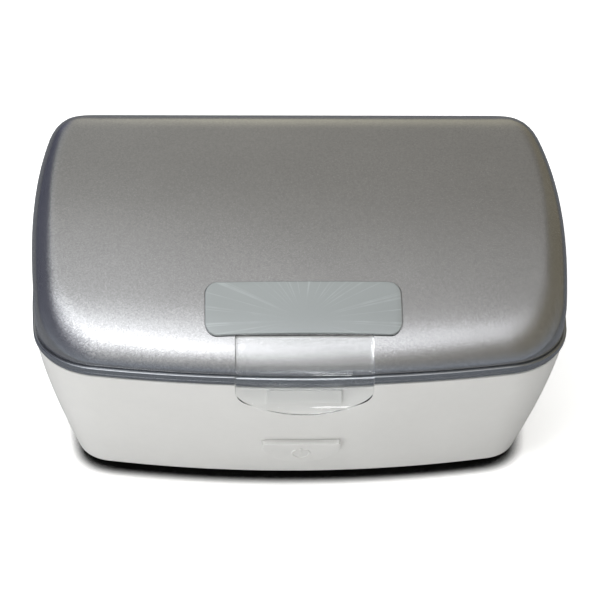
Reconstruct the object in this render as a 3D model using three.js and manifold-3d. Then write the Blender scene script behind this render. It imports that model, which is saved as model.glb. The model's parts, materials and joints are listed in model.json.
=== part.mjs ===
// Electric drying box for hearing aids: a flared white base with a domed silver lid, hinged at the
// rear and held shut by a clear latch tab. Millimetres, +Z up, front towards -Y, origin at the centre
// of the footprint on the surface that the feet stand on.
import * as THREE from "three";
import { mergeVertices } from "three/addons/utils/BufferGeometryUtils.js";
import Module from "manifold-3d";

// Driving dimensions
const WIDTH = 145;
const DEPTH = 110.8;
const TOP_Z = 68.8;
const FOOT_H = 1.2; // the feet lift the base by this much
const RIM_Z = 41.9; // lower edge of the lid's rim
const RIM_H = 3.4;
const GAP = 0.3; // between pieces that touch
const FRONT_BOW = 7.8; // how far each side of the outline swells at its middle
const SIDE_BOW = 5.7;
const BACK_BOW = 2.5;
const FRONT_CORNER = 19.3;
const BACK_CORNER = 15.4;

const HALF_WIDTH = WIDTH / 2;
const HALF_DEPTH = DEPTH / 2;
const RIM_TOP = RIM_Z + RIM_H;

// Lid dome
const CROWN_Y = 26; // the dome is highest here and rolls down to the front
const CROWN_POWER = 2.244;
const FRONT_POWER = 0.66;
const BACK_FALL = 0.018; // per mm, how fast the dome falls behind the crown
const DOME_SIDE_INSET = 0.7; // from the rim's outline to the dome's wall
const DOME_END_INSET = 2;
const SIDE_ROLL = 6.4; // radius where the top turns into the side wall
const FRONT_SPREAD = 9; // depth of the front stretch that the roll's rings share
const BACK_ROLL = 8.2;
const DOME_WALL = 2;
const LINER_WALL = 1.5;
const LINER_GAP = 0.6;
const RIM_RING = 6.5; // width of the rim ring, seen from above
const RIM_CHAMFER = 0.5;
const GASKET_INSET = 3.4;
const GASKET_W = 1.6;
const GASKET_H = 1;

const MAGNET = { x: -68.7, halfX: 1.5, halfY: 4, z0: RIM_Z + 0.3, z1: RIM_Z + 1.9 };

// Base
const BASE_INSET = 0.6; // the base stands this far inside the rim
const BASE_WALL = 2.2;
const BASE_TOP = RIM_Z - 0.4;
const FLARE = 1.307; // exponent of the wall's flare from foot to rim
const FLOOR_HALF_WIDTH = 63.5;
const FLOOR_FRONT = -42.8;
const FLOOR_BACK = 42;
const FLOOR_FRONT_BOW = 6.6;
const FLOOR_FRONT_CORNER = 10.4;
const FLOOR_BACK_CORNER = 12;
const LEDGE_Z = 37.9; // the tray's deck stands on this ledge
const LEDGE_W = 2.2;
const COVER_H = 3;
const COVER_TOP = FOOT_H + COVER_H;

// Tray
const DECK_H = 2;
const DECK_Z = LEDGE_Z + GAP;
const DECK_TOP = DECK_Z + DECK_H;
const TRAY_WALL = 1.8;
const WELL = { x0: 4, x1: 52, y0: -38, y1: -4, floor: 18, corner: 6 }; // the right cup's hollow
const CUP_WALL = 1.5;
const CUP_FLANGE = 1.4; // how far the cup's flange lies on the deck
const TROUGH = { x0: -52.5, x1: 52.5, y0: 1, y1: 12.5, floor: 28, corner: 2 };
const BAY = { x0: -52, x1: -4, y0: 18, y1: 43, floor: 24, corner: 3 };
const REED = { x: -62, z: 35.6, r: 1.1, half: 6 };

// Hinge
const HINGE_Y = 55.2;
const HINGE_Z = RIM_Z + RIM_H / 2;
const KNUCKLE_R = HALF_DEPTH + 2.4 - HINGE_Y;
const PIN_R = 1.2;
const HINGE_X = 32; // middle of each hinge, left and right
const LID_KNUCKLE = 8;
const BASE_KNUCKLE = 4;
const KNUCKLE_GAP = 0.5;
const WEB_Y = 52.6; // the knuckles' webs start at this station, inside the walls
const WEB_LOW = 33; // the base's webs run down to this height

// Latch and catch
const LATCH_HALF = 17.6;
const LATCH_T = 2;
const LATCH_FACE_Y = -(HALF_DEPTH + 0.4); // inner face of the hanging part
const LATCH_SHOULDER_Z = 41.6; // the tab's sides are straight down to here
const LATCH_TIP_Z = 34.6;
const ANCHOR_LENGTH = 1.6;
const CATCH = { half: 9.7, front: -55.1, back: -53, z0: 36.5, z1: 41.2 };
const HOOK = { half: 9, back: -54.5, z0: 35.1, z1: 36.2 };

// Label
const LABEL_HALF = 25.2;
const LABEL_FRONT = -47.4;
const LABEL_BACK = -34.3;
const LABEL_CORNER = 3.2;
const LABEL_SEAT = -0.8; // the seat's floor, measured from the dome's surface
const LABEL_UNDER = -0.5;
const LABEL_OVER = 0.6;

// Power button
const BUTTON = { half: 10.4, top: 18.2, shoulder: 16, bottom: 7.7, faceTop: -50.6, faceBottom: -45.9 };
const BUTTON_BACK = -43;
const BUTTON_GAP = 0.35;
const PLUNGER_END = -35.3;
const SWITCH_Z = 12;

// Drive: fan, heater, board
const FAN = { x: 28, y: 31, half: 15, z0: 30.5, z1: 37.6, bore: 13.6 };
const SLOT_PITCH = 5; // of the air slots above and below the fan
const DUCT = { half: 15, wall: 1.2, z0: 22.5, z1: 30.2 };
const HEATER = { halfX: 13.3, halfY: 9, z0: 24.4, z1: 29.6 };
const BOARD = { x0: -50, x1: 6, y0: -34, y1: 36, z0: 6.7, z1: 8.3 };
const SOCKET = { x: -30, z: 13.6, back: 41.4, mouth: 45.6 };
const LAMP = { y: 6.75, z: 34.5, r: 2.2, half: 47 };

const wasm = await Module();
wasm.setup();

// ---- solids ----

function toSolid(geometry) {
  const bare = new THREE.BufferGeometry();
  bare.setAttribute("position", geometry.getAttribute("position"));
  if (geometry.index) bare.setIndex(geometry.index);
  const merged = mergeVertices(bare, 1e-4);
  const index = merged.index.array;
  const kept = [];
  for (let i = 0; i < index.length; i += 3) {
    const [a, b, c] = [index[i], index[i + 1], index[i + 2]];
    if (a !== b && b !== c && a !== c) kept.push(a, b, c);
  }
  return new wasm.Manifold(
    new wasm.Mesh({
      numProp: 3,
      vertProperties: merged.attributes.position.array,
      triVerts: new Uint32Array(kept),
    }),
  );
}

function toGeometry(solid) {
  const made = solid.getMesh();
  const geometry = new THREE.BufferGeometry();
  geometry.setAttribute("position", new THREE.BufferAttribute(made.vertProperties, 3));
  geometry.setIndex(new THREE.BufferAttribute(made.triVerts, 1));
  geometry.computeVertexNormals();
  return geometry;
}

const join = (first, ...rest) => rest.reduce((whole, piece) => whole.add(piece), first);
const cut = (first, ...rest) => rest.reduce((whole, piece) => whole.subtract(piece), first);

// A block between two corners.
function block(x0, x1, y0, y1, z0, z1) {
  const box = new THREE.BoxGeometry(x1 - x0, y1 - y0, z1 - z0);
  return toSolid(box.translate((x0 + x1) / 2, (y0 + y1) / 2, (z0 + z1) / 2));
}

// A round bar along X, Y or Z, from one station to the other, centred on the other two coordinates.
function bar(axis, radius, from, to, [u, v], sides = 20) {
  const rod = new THREE.CylinderGeometry(radius, radius, to - from, sides);
  const middle = (from + to) / 2;
  if (axis === "x") rod.rotateZ(Math.PI / 2).translate(middle, u, v);
  if (axis === "y") rod.translate(u, middle, v);
  if (axis === "z") rod.rotateX(Math.PI / 2).translate(u, v, middle);
  return toSolid(rod);
}

const extruded = (shape, depth, curveSegments = 10) =>
  new THREE.ExtrudeGeometry(shape, { depth, bevelEnabled: false, curveSegments });

// A shape drawn in X and Y, standing from z0 to z1.
const upright = (shape, z0, z1, curveSegments) =>
  toSolid(extruded(shape, z1 - z0, curveSegments).translate(0, 0, z0));

// A shape drawn in Y and Z, running from x0 to x1.
function alongX(shape, x0, x1) {
  const turn = new THREE.Matrix4().makeBasis(
    new THREE.Vector3(0, 1, 0),
    new THREE.Vector3(0, 0, 1),
    new THREE.Vector3(1, 0, 0),
  );
  return toSolid(extruded(shape, x1 - x0).applyMatrix4(turn).translate(x0, 0, 0));
}

// A shape drawn in X and Z, running from y0 to y1.
function alongY(shape, y0, y1) {
  const turn = new THREE.Matrix4().makeBasis(
    new THREE.Vector3(1, 0, 0),
    new THREE.Vector3(0, 0, 1),
    new THREE.Vector3(0, -1, 0),
  );
  return toSolid(extruded(shape, y1 - y0).applyMatrix4(turn).translate(0, y1, 0));
}

const polygon = (points) => new THREE.Shape(points.map(([a, b]) => new THREE.Vector2(a, b)));

function roundedRectangle(x0, x1, y0, y1, r) {
  const shape = new THREE.Shape();
  shape.moveTo(x0 + r, y0);
  shape.absarc(x1 - r, y0 + r, r, -Math.PI / 2, 0);
  shape.absarc(x1 - r, y1 - r, r, 0, Math.PI / 2);
  shape.absarc(x0 + r, y1 - r, r, Math.PI / 2, Math.PI);
  shape.absarc(x0 + r, y0 + r, r, Math.PI, Math.PI * 1.5);
  return shape;
}

// A pocket or box with rounded corners, grown by grow on every side.
const roundedBlock = (p, z0, z1, grow = 0) =>
  upright(
    roundedRectangle(p.x0 - grow, p.x1 + grow, p.y0 - grow, p.y1 + grow, p.corner + grow),
    z0,
    z1,
    4,
  );

// A solid whose skin runs through rings of matching points. Closed rings make a tube wall; otherwise
// the first and last rings are capped at their centres.
function loft(rings, closed = false) {
  const pole = (ring) => {
    const mean = [0, 1, 2].map((k) => ring.reduce((sum, p) => sum + p[k], 0) / ring.length);
    return ring.map(() => mean);
  };
  const all = closed ? [...rings, rings[0]] : [pole(rings[0]), ...rings, pole(rings.at(-1))];
  const count = rings[0].length;
  const corners = [];
  let volume = 0;
  const face = (a, b, c) => {
    corners.push(...a, ...b, ...c);
    volume += new THREE.Vector3(...a).dot(new THREE.Vector3(...b).cross(new THREE.Vector3(...c)));
  };
  for (let r = 0; r + 1 < all.length; r++) {
    for (let i = 0; i < count; i++) {
      const j = (i + 1) % count;
      face(all[r][i], all[r][j], all[r + 1][j]);
      face(all[r][i], all[r + 1][j], all[r + 1][i]);
    }
  }
  const geometry = new THREE.BufferGeometry();
  if (volume < 0) {
    for (let i = 0; i < corners.length; i += 9) {
      const second = corners.slice(i + 3, i + 6);
      corners.splice(i + 3, 6, ...corners.slice(i + 6, i + 9), ...second);
    }
  }
  geometry.setAttribute("position", new THREE.Float32BufferAttribute(corners, 3));
  return toSolid(geometry);
}

// ---- the bowed outline that every casing follows ----

// Where the corner's circle sits between two of the outline's long arcs.
function cornerCentre(a, aRadius, b, bRadius, radius, upper) {
  const between = b.clone().sub(a);
  const d = between.length();
  const [ra, rb] = [aRadius - radius, bRadius - radius];
  const along = (d * d + ra * ra - rb * rb) / (2 * d);
  const across = Math.sqrt(Math.max(ra * ra - along * along, 0));
  const u = between.divideScalar(d);
  const choices = [across, -across].map(
    (s) => new THREE.Vector2(a.x + u.x * along - u.y * s, a.y + u.y * along + u.x * s),
  );
  choices.sort((p, q) => p.y - q.y);
  return upper ? choices[1] : choices[0];
}

// A rounded rectangle whose sides are shallow arcs, counter-clockwise from the front centre. Each
// point also holds the outward normal.
function bowedOutline({ halfWidth, front, back, frontBow, sideBow, backBow, frontCorner, backCorner }) {
  const halfDepth = (back - front) / 2;
  const frontR = halfWidth ** 2 / (2 * frontBow);
  const backR = halfWidth ** 2 / (2 * backBow);
  const sideR = halfDepth ** 2 / (2 * sideBow);
  const frontC = new THREE.Vector2(0, front + frontR);
  const backC = new THREE.Vector2(0, back - backR);
  const sideC = new THREE.Vector2(halfWidth - sideR, (front + back) / 2);
  const low = cornerCentre(frontC, frontR, sideC, sideR, frontCorner, false);
  const high = cornerCentre(backC, backR, sideC, sideR, backCorner, true);
  const angle = (c, p) => Math.atan2(p.y - c.y, p.x - c.x);
  const turns = [
    -Math.PI / 2,
    angle(frontC, low),
    angle(sideC, low),
    angle(sideC, high),
    angle(backC, high),
    Math.PI / 2,
  ];
  const arcs = [
    [frontC, frontR, 4],
    [low, frontCorner, 5],
    [sideC, sideR, 4],
    [high, backCorner, 4],
    [backC, backR, 3],
  ];
  const right = [];
  arcs.forEach(([centre, radius, steps], k) => {
    for (let i = 0; i < steps; i++) {
      const t = THREE.MathUtils.lerp(turns[k], turns[k + 1], i / steps);
      const [nx, ny] = [Math.cos(t), Math.sin(t)];
      right.push({ x: centre.x + radius * nx, y: centre.y + radius * ny, nx, ny });
    }
  });
  right.push({ x: 0, y: back, nx: 0, ny: 1 });
  const left = right
    .slice(1, -1)
    .reverse()
    .map((p) => ({ x: -p.x, y: p.y, nx: -p.nx, ny: p.ny }));
  return [...right, ...left];
}

// The rim's outline, moved inwards.
function rimOutline(inset) {
  return bowedOutline({
    halfWidth: HALF_WIDTH - inset,
    front: -HALF_DEPTH + inset,
    back: HALF_DEPTH - inset,
    frontBow: FRONT_BOW,
    sideBow: SIDE_BOW,
    backBow: BACK_BOW,
    frontCorner: FRONT_CORNER - inset,
    backCorner: BACK_CORNER - inset,
  });
}

// The base's outline at a height, moved inwards. It shrinks from the rim to the floor.
function baseOutline(z, inset) {
  const w = ((RIM_Z - z) / (RIM_Z - FOOT_H)) ** FLARE;
  const mix = (rim, floor) => rim + (floor - rim) * w;
  return bowedOutline({
    halfWidth: mix(HALF_WIDTH - BASE_INSET, FLOOR_HALF_WIDTH) - inset,
    front: mix(-HALF_DEPTH + BASE_INSET, FLOOR_FRONT) + inset,
    back: mix(HALF_DEPTH - BASE_INSET, FLOOR_BACK) - inset,
    frontBow: mix(FRONT_BOW, FLOOR_FRONT_BOW),
    sideBow: SIDE_BOW,
    backBow: BACK_BOW,
    frontCorner: mix(FRONT_CORNER, FLOOR_FRONT_CORNER) - inset,
    backCorner: mix(BACK_CORNER, FLOOR_BACK_CORNER) - inset,
  });
}

const level = (outline, z) => outline.map((p) => [p.x, p.y, z]);

// ---- the dome's surface ----

function profileHeight(y) {
  if (y >= CROWN_Y) return TOP_Z - BACK_FALL * (y - CROWN_Y) ** 2;
  const reach = CROWN_Y + HALF_DEPTH - DOME_END_INSET;
  const u = Math.min((CROWN_Y - y) / reach, 1);
  return RIM_TOP + (TOP_Z - RIM_TOP) * (1 - u ** CROWN_POWER) ** FRONT_POWER;
}

// The front roll follows the rim's bow, so the height is read where the bow is taken out.
function domeHeight(x, y) {
  const bow = FRONT_BOW * (x / HALF_WIDTH) ** 2;
  return profileHeight(y - bow * THREE.MathUtils.smoothstep(-y, 0, HALF_DEPTH));
}

// Rings up the wall and over the roll, for a dome set in by inset and lowered by drop.
function domeRings(inset, drop, foot, steps) {
  const rings = [];
  for (let i = 0; i <= steps; i++) {
    const turn = (i / steps) * (Math.PI / 2);
    const rise = 1 - Math.cos(turn);
    const fall = 1 - Math.sin(turn);
    const side = DOME_SIDE_INSET + inset + SIDE_ROLL * rise;
    const front = DOME_END_INSET + inset + FRONT_SPREAD * rise;
    const back = DOME_END_INSET + inset + BACK_ROLL * rise;
    const outline = bowedOutline({
      halfWidth: HALF_WIDTH - side,
      front: -HALF_DEPTH + front,
      back: HALF_DEPTH - back,
      frontBow: FRONT_BOW,
      sideBow: SIDE_BOW,
      backBow: BACK_BOW,
      frontCorner: FRONT_CORNER - 0.35 * (side + front),
      backCorner: BACK_CORNER - 0.35 * (side + back),
    });
    if (i === 0) rings.push(level(outline, foot));
    const lowest = foot + 0.2 * (i + 1);
    rings.push(
      outline.map((p) => {
        const backShare = p.ny > 0 ? p.ny ** 2 : 0;
        const roll = (p.nx ** 2 * SIDE_ROLL + backShare * BACK_ROLL) * fall;
        return [p.x, p.y, Math.max(domeHeight(p.x, p.y) - drop - roll, lowest)];
      }),
    );
  }
  const last = rings.at(-1);
  for (const k of [0.75, 0.5, 0.25, 0]) {
    rings.push(last.map(([x, y]) => [x * k, y * k, domeHeight(x * k, y * k) - drop]));
  }
  return rings;
}

function domeShell(inset, drop, wall, foot, steps) {
  const outside = domeRings(inset, drop, foot, steps);
  const inside = domeRings(inset + wall, drop + wall * 1.1, foot, steps);
  return loft([...outside.reverse(), ...inside]);
}

// A point on the dome, moved out along the surface's normal.
function onDome(x, y, offset) {
  const e = 0.05;
  const z = domeHeight(x, y);
  const dx = (domeHeight(x + e, y) - domeHeight(x - e, y)) / (2 * e);
  const dy = (domeHeight(x, y + e) - domeHeight(x, y - e)) / (2 * e);
  const n = new THREE.Vector3(-dx, -dy, 1).normalize().multiplyScalar(offset);
  return [x + n.x, y + n.y, z + n.z];
}

// A plate with rounded corners that lies on the dome between two offsets from its surface.
function domePlate(halfX, y0, y1, corner, under, over) {
  const points = roundedRectangle(-halfX, halfX, y0, y1, corner).getSpacedPoints(36).slice(0, -1);
  const middle = (y0 + y1) / 2;
  const ring = (k, offset) => points.map((p) => onDome(p.x * k, middle + (p.y - middle) * k, offset));
  const shares = [0, 0.35, 0.7, 1];
  return loft([...shares.map((k) => ring(k, over)), ...shares.reverse().map((k) => ring(k, under))]);
}

// ---- materials ----

const paint = (color, roughness, metalness = 0, opacity = 1) =>
  new THREE.MeshStandardMaterial({
    color,
    roughness,
    metalness,
    opacity,
    transparent: opacity < 1,
  });
const silver = paint(0x9a9a9b, 0.3, 0.7);
const rimGrey = paint(0x84888f, 0.28, 0.6);
const whitePlastic = paint(0xd6d6d1, 0.45);
const innerWhite = paint(0xe4e4e0, 0.55);
const clear = paint(0xeef0f0, 0.08, 0, 0.35);
const labelGrey = paint(0xaab3b3, 0.25, 0.3);
const rubber = paint(0x2b2b2b, 0.9);
const seal = paint(0x6f7275, 0.8);
const steel = paint(0xb9bcc0, 0.3, 1);
const aluminium = paint(0xcfd3d6, 0.2, 1);
const glass = paint(0xdfe6f2, 0.05, 0, 0.5);
const boardGreen = paint(0x1d5a36, 0.5);
const blackPlastic = paint(0x1c1c1e, 0.5);
const desiccantGrey = paint(0x8a8d90, 0.6);
const membraneWhite = paint(0xf0efe8, 0.9);
const copper = paint(0xb8743a, 0.4, 0.8);

const dryingBox = new THREE.Group();

function piece(name, solid, material) {
  const mesh = new THREE.Mesh(toGeometry(solid), material);
  mesh.name = name;
  dryingBox.add(mesh);
}

const sides = [
  ["left", -1],
  ["right", 1],
];

// ---- hinge ----

// A knuckle with its web, drawn in Y and Z; the web runs to the points given.
const knuckle = (x0, x1, web) =>
  join(bar("x", KNUCKLE_R, x0, x1, [HINGE_Y, HINGE_Z]), alongX(polygon(web), x0, x1));

const pinBore = (x) => bar("x", PIN_R + GAP, x - 12, x + 12, [HINGE_Y, HINGE_Z], 16);

function baseKnuckles(x) {
  const inner = LID_KNUCKLE / 2 + KNUCKLE_GAP;
  const web = [
    [WEB_Y, WEB_LOW],
    [HINGE_Y + KNUCKLE_R * 0.94, HINGE_Z - 0.9],
    [HINGE_Y, HINGE_Z],
    [WEB_Y, HINGE_Z],
  ];
  return [-1, 1].map((s) => {
    const edges = [x + s * inner, x + s * (inner + BASE_KNUCKLE)].sort((a, b) => a - b);
    return knuckle(...edges, web);
  });
}

function lidKnuckle(x) {
  const web = [
    [HINGE_Y - 3.6, HINGE_Z],
    [HINGE_Y + 1, HINGE_Z],
    [HINGE_Y + 0.2, RIM_TOP],
    [HINGE_Y - 3.6, RIM_TOP],
  ];
  return knuckle(x - LID_KNUCKLE / 2, x + LID_KNUCKLE / 2, web);
}

// Room in the lid for the base's knuckles.
function lidNotches(x) {
  const inner = LID_KNUCKLE / 2 + KNUCKLE_GAP - 0.4;
  const outer = LID_KNUCKLE / 2 + KNUCKLE_GAP + BASE_KNUCKLE + 0.4;
  return [-1, 1].map((s) => {
    const [a, b] = [x + s * inner, x + s * outer].sort((p, q) => p - q);
    return block(a, b, HINGE_Y - 3, HINGE_Y + 6, RIM_Z - 3, HINGE_Z + 3);
  });
}

// ---- base ----

// The power button's face, drawn in X and Z: flat on top, round below.
function buttonShape(grow) {
  const half = BUTTON.half + grow;
  const shape = new THREE.Shape();
  shape.moveTo(-half, BUTTON.top + grow);
  shape.lineTo(-half, BUTTON.shoulder);
  shape.absellipse(0, BUTTON.shoulder, half, BUTTON.shoulder - BUTTON.bottom + grow, Math.PI, 2 * Math.PI);
  shape.lineTo(half, BUTTON.top + grow);
  return shape;
}

const SCREW_XY = [-1, 1].flatMap((sx) => [-1, 1].map((sy) => [54 * sx, 21 * sy]));
const FOOT_XY = [-1, 1].flatMap((sx) => [-1, 1].map((sy) => [48 * sx, sy > 0 ? 29 : -28]));

// A post for a bottom screw, tied to the side wall by a rib.
function screwPost(x, y) {
  const outer = Math.sign(x) * 62.8;
  const rib = block(Math.min(x, outer), Math.max(x, outer), y - 0.8, y + 0.8, 8, 15.5);
  return cut(
    join(bar("z", 3.2, COVER_TOP + GAP, 15.5, [x, y], 12), rib),
    bar("z", 1.7, COVER_TOP - 1, 13, [x, y], 10),
  );
}

function baseShell() {
  const outside = [FOOT_H, 8, 20, BASE_TOP].map((z) => level(baseOutline(z, 0), z));
  const ledge = BASE_WALL - 0.2;
  const inside = [
    [BASE_TOP, ledge],
    [LEDGE_Z, ledge],
    [LEDGE_Z, ledge + LEDGE_W],
    [33, BASE_WALL],
    [20, BASE_WALL],
    [8, BASE_WALL],
    [FOOT_H, BASE_WALL],
  ].map(([z, inset]) => level(baseOutline(z, inset), z));
  let shell = loft([...outside, ...inside], true);
  const catchBlock = block(-CATCH.half, CATCH.half, CATCH.front, CATCH.back, CATCH.z0, CATCH.z1);
  shell = join(shell, catchBlock, ...SCREW_XY.map(([x, y]) => screwPost(x, y)));
  for (const x of [-HINGE_X, HINGE_X]) {
    const room = bar("x", KNUCKLE_R + 0.4, x - 4.4, x + 4.4, [HINGE_Y, HINGE_Z]);
    shell = cut(join(cut(shell, room), ...baseKnuckles(x)), pinBore(x));
  }
  return cut(
    shell,
    alongY(buttonShape(BUTTON_GAP), -55, -40),
    bar("y", 4, 38, 50, [SOCKET.x, SOCKET.z]),
  );
}

function bottomCover() {
  const inset = BASE_WALL + GAP;
  const plate = loft([
    level(baseOutline(FOOT_H, inset), FOOT_H),
    level(baseOutline(FOOT_H, inset), COVER_TOP),
  ]);
  const slots = [-2, -1, 0, 1, 2].map((i) => {
    const x = FAN.x + i * SLOT_PITCH;
    return upright(roundedRectangle(x - 1.4, x + 1.4, 14, 35, 1.3), 0, 8, 2);
  });
  const screwHoles = SCREW_XY.flatMap((at) => [
    bar("z", 3, 0, FOOT_H + 1.9, at, 16),
    bar("z", 1.7, 0, 8, at, 10),
  ]);
  const footPits = FOOT_XY.map((at) => bar("z", 5.4, 0, 2.3, at, 18));
  const standoffs = [BOARD.x0 + 4, BOARD.x1 - 4].flatMap((x) =>
    [BOARD.y0 + 4, BOARD.y1 - 4].map((y) => bar("z", 2.2, COVER_TOP - 1, BOARD.z0 - GAP, [x, y], 8)),
  );
  return cut(join(plate, ...standoffs), ...slots, ...screwHoles, ...footPits);
}

function foot(x, y) {
  const profile = [
    [0, 0],
    [4.5, 0],
    [5, 0.5],
    [5, 2],
    [0, 2],
  ].map(([r, z]) => new THREE.Vector2(r, z));
  return toSolid(new THREE.LatheGeometry(profile, 18).rotateX(Math.PI / 2).translate(x, y, 0));
}

const screw = (at) =>
  cut(
    join(bar("z", 2.6, FOOT_H + 0.2, FOOT_H + 1.6, at, 14), bar("z", 1.3, FOOT_H + 1, 12, at, 8)),
    block(at[0] - 1.8, at[0] + 1.8, at[1] - 0.3, at[1] + 0.3, 0, FOOT_H + 0.8),
  );

piece("base_shell", baseShell(), whitePlastic);
piece("bottom_cover", bottomCover(), whitePlastic);
FOOT_XY.forEach(([x, y], i) => piece(`foot_${i + 1}`, foot(x, y), rubber));
SCREW_XY.forEach((at, i) => piece(`bottom_screw_${i + 1}`, screw(at), steel));
for (const [side, s] of sides) {
  const ends = (LID_KNUCKLE + 2 * (KNUCKLE_GAP + BASE_KNUCKLE)) / 2;
  const x = s * HINGE_X;
  piece(`hinge_pin_${side}`, bar("x", PIN_R, x - ends, x + ends, [HINGE_Y, HINGE_Z], 16), steel);
}

// ---- drying tray ----

const VENT = { half: 1.6, reach: 12 }; // the deck's slots above the fan

const wellOn = (s) => (s > 0 ? WELL : { ...WELL, x0: -WELL.x1, x1: -WELL.x0 });

function dryingTray() {
  const edge = baseOutline(LEDGE_Z, BASE_WALL - 0.2 + GAP);
  const deck = loft([level(edge, DECK_Z), level(edge, DECK_TOP)]);
  const hung = [TROUGH, BAY].map((p) => roundedBlock(p, p.floor - TRAY_WALL, DECK_TOP, TRAY_WALL));
  const hollows = [TROUGH, BAY].map((p) => roundedBlock(p, p.floor, DECK_TOP + 1));
  const cupHoles = [-1, 1].map((s) => roundedBlock(wellOn(s), DECK_Z - 1, DECK_TOP + 1, CUP_WALL + GAP));
  const vents = [-2, -1, 0, 1, 2].map((i) => {
    const x = FAN.x + i * SLOT_PITCH;
    const [y0, y1] = [FAN.y - VENT.reach, FAN.y + VENT.reach];
    const slot = roundedRectangle(x - VENT.half, x + VENT.half, y0, y1, 1.5);
    return upright(slot, DECK_Z - 1, DECK_TOP + 1, 2);
  });
  const clip = block(REED.x - 2, REED.x + 2, -2, 2, REED.z - 2.4, DECK_Z + 0.5);
  const reedBore = bar("y", REED.r + GAP, 1 - REED.half, REED.half - 1, [REED.x, REED.z], 12);
  return cut(join(deck, ...hung, clip), ...hollows, ...cupHoles, ...vents, reedBore);
}

// A cup that hangs in the deck by its flange.
function wellCup(s) {
  const well = wellOn(s);
  const seat = DECK_TOP + GAP;
  const outside = roundedBlock(well, WELL.floor - CUP_WALL, seat + 0.5, CUP_WALL);
  const flange = roundedBlock(well, seat, seat + 0.9, CUP_WALL + CUP_FLANGE);
  return cut(join(outside, flange), roundedBlock(well, WELL.floor, seat + 2));
}

const CASE = { x0: BAY.x0 + 1.5, x1: BAY.x1 - 1.5, y0: BAY.y0 + 1.5, y1: BAY.y1 - 1.5, corner: 2.8 };
const CASE_TOP = DECK_TOP - 1.2;
const CASE_RIM = 2;

function desiccantCase() {
  const middle = (CASE.x0 + CASE.x1) / 2;
  return cut(
    roundedBlock(CASE, BAY.floor + GAP, CASE_TOP),
    roundedBlock(CASE, CASE_TOP - 1.4, CASE_TOP + 1, -CASE_RIM),
    block(middle - 4, middle + 4, BAY.y0, BAY.y0 + 3.4, CASE_TOP - 4, CASE_TOP + 1),
  );
}

piece("drying_tray", dryingTray(), innerWhite);
for (const [side, s] of sides) piece(`well_cup_${side}`, wellCup(s), innerWhite);
piece("desiccant_case", desiccantCase(), desiccantGrey);
piece(
  "desiccant_membrane",
  roundedBlock(CASE, CASE_TOP - 1.1, CASE_TOP - 0.5, -CASE_RIM - GAP),
  membraneWhite,
);

// ---- lamp ----

const REFLECTOR = { outer: 5, inner: 4.4, half: 43.2 };
const LAMP_CAP = { near: 43.6, far: 52, halfY: 4.6, above: 3.6 };
const GUARD = { half: 54.5, y0: -0.8, y1: 14.4, thickness: 1, windows: 9, pitch: 11.4 };
const GUARD_WINDOW = { half: 4.6, y0: 1.8, y1: 11.8 };

// Half of a tube, open upwards, drawn in Y and Z.
function reflectorShape() {
  const shape = new THREE.Shape();
  shape.absarc(LAMP.y, LAMP.z, REFLECTOR.outer, Math.PI, 2 * Math.PI);
  shape.absarc(LAMP.y, LAMP.z, REFLECTOR.inner, 2 * Math.PI, Math.PI, true);
  return shape;
}

function lampCap(s) {
  const { near, far, halfY, above } = LAMP_CAP;
  const [x0, x1] = s < 0 ? [-far, -near] : [near, far];
  const body = block(x0, x1, LAMP.y - halfY, LAMP.y + halfY, TROUGH.floor + GAP, LAMP.z + above);
  const hole = s < 0 ? [-LAMP.half - GAP, -near + 1] : [near - 1, LAMP.half + GAP];
  return cut(body, bar("x", LAMP.r + GAP, ...hole, [LAMP.y, LAMP.z]));
}

function lampGuard() {
  const z0 = DECK_TOP + GAP;
  const { half, y0, y1, thickness } = GUARD;
  const plate = upright(roundedRectangle(-half, half, y0, y1, 2), z0, z0 + thickness, 3);
  const windows = Array.from({ length: GUARD.windows }, (_, i) => {
    const x = (i - (GUARD.windows - 1) / 2) * GUARD.pitch;
    const [x0, x1] = [x - GUARD_WINDOW.half, x + GUARD_WINDOW.half];
    return upright(roundedRectangle(x0, x1, GUARD_WINDOW.y0, GUARD_WINDOW.y1, 1.2), z0 - 1, z0 + 2, 1);
  });
  return cut(plate, ...windows);
}

piece("lamp_tube", bar("x", LAMP.r, -LAMP.half, LAMP.half, [LAMP.y, LAMP.z], 16), glass);
for (const [side, s] of sides) piece(`lamp_cap_${side}`, lampCap(s), rubber);
piece("lamp_reflector", alongX(reflectorShape(), -REFLECTOR.half, REFLECTOR.half), aluminium);
piece("lamp_guard", lampGuard(), innerWhite);

// ---- fan and heater ----

const SPOKES = 3;
const BLADES = 7;
const HUB_R = 6;
const FAN_SHAFT_R = 0.8;
const FINS = 8;
const FIN_PITCH = 3;

const square = (half, z0, z1, corner) =>
  roundedBlock(
    { x0: FAN.x - half, x1: FAN.x + half, y0: FAN.y - half, y1: FAN.y + half, corner },
    z0,
    z1,
  );

function fanFrame() {
  const centre = [FAN.x, FAN.y];
  const rim = cut(square(FAN.half, FAN.z0, FAN.z1, 2), bar("z", FAN.bore, 20, 50, centre, 28));
  const spokes = Array.from({ length: SPOKES }, (_, i) => {
    const spoke = new THREE.BoxGeometry(FAN.bore + 0.8, 1.6, 1.2).translate((FAN.bore + 0.8) / 2, 0, 0);
    spoke.rotateZ((i * 2 * Math.PI) / SPOKES + 0.5);
    return toSolid(spoke.translate(FAN.x, FAN.y, FAN.z0 + 0.6));
  });
  const stator = bar("z", 5, FAN.z0, FAN.z0 + 2.5, centre);
  return cut(join(rim, stator, ...spokes), bar("z", 1.2, FAN.z0 + 0.5, FAN.z1, centre, 12));
}

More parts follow.
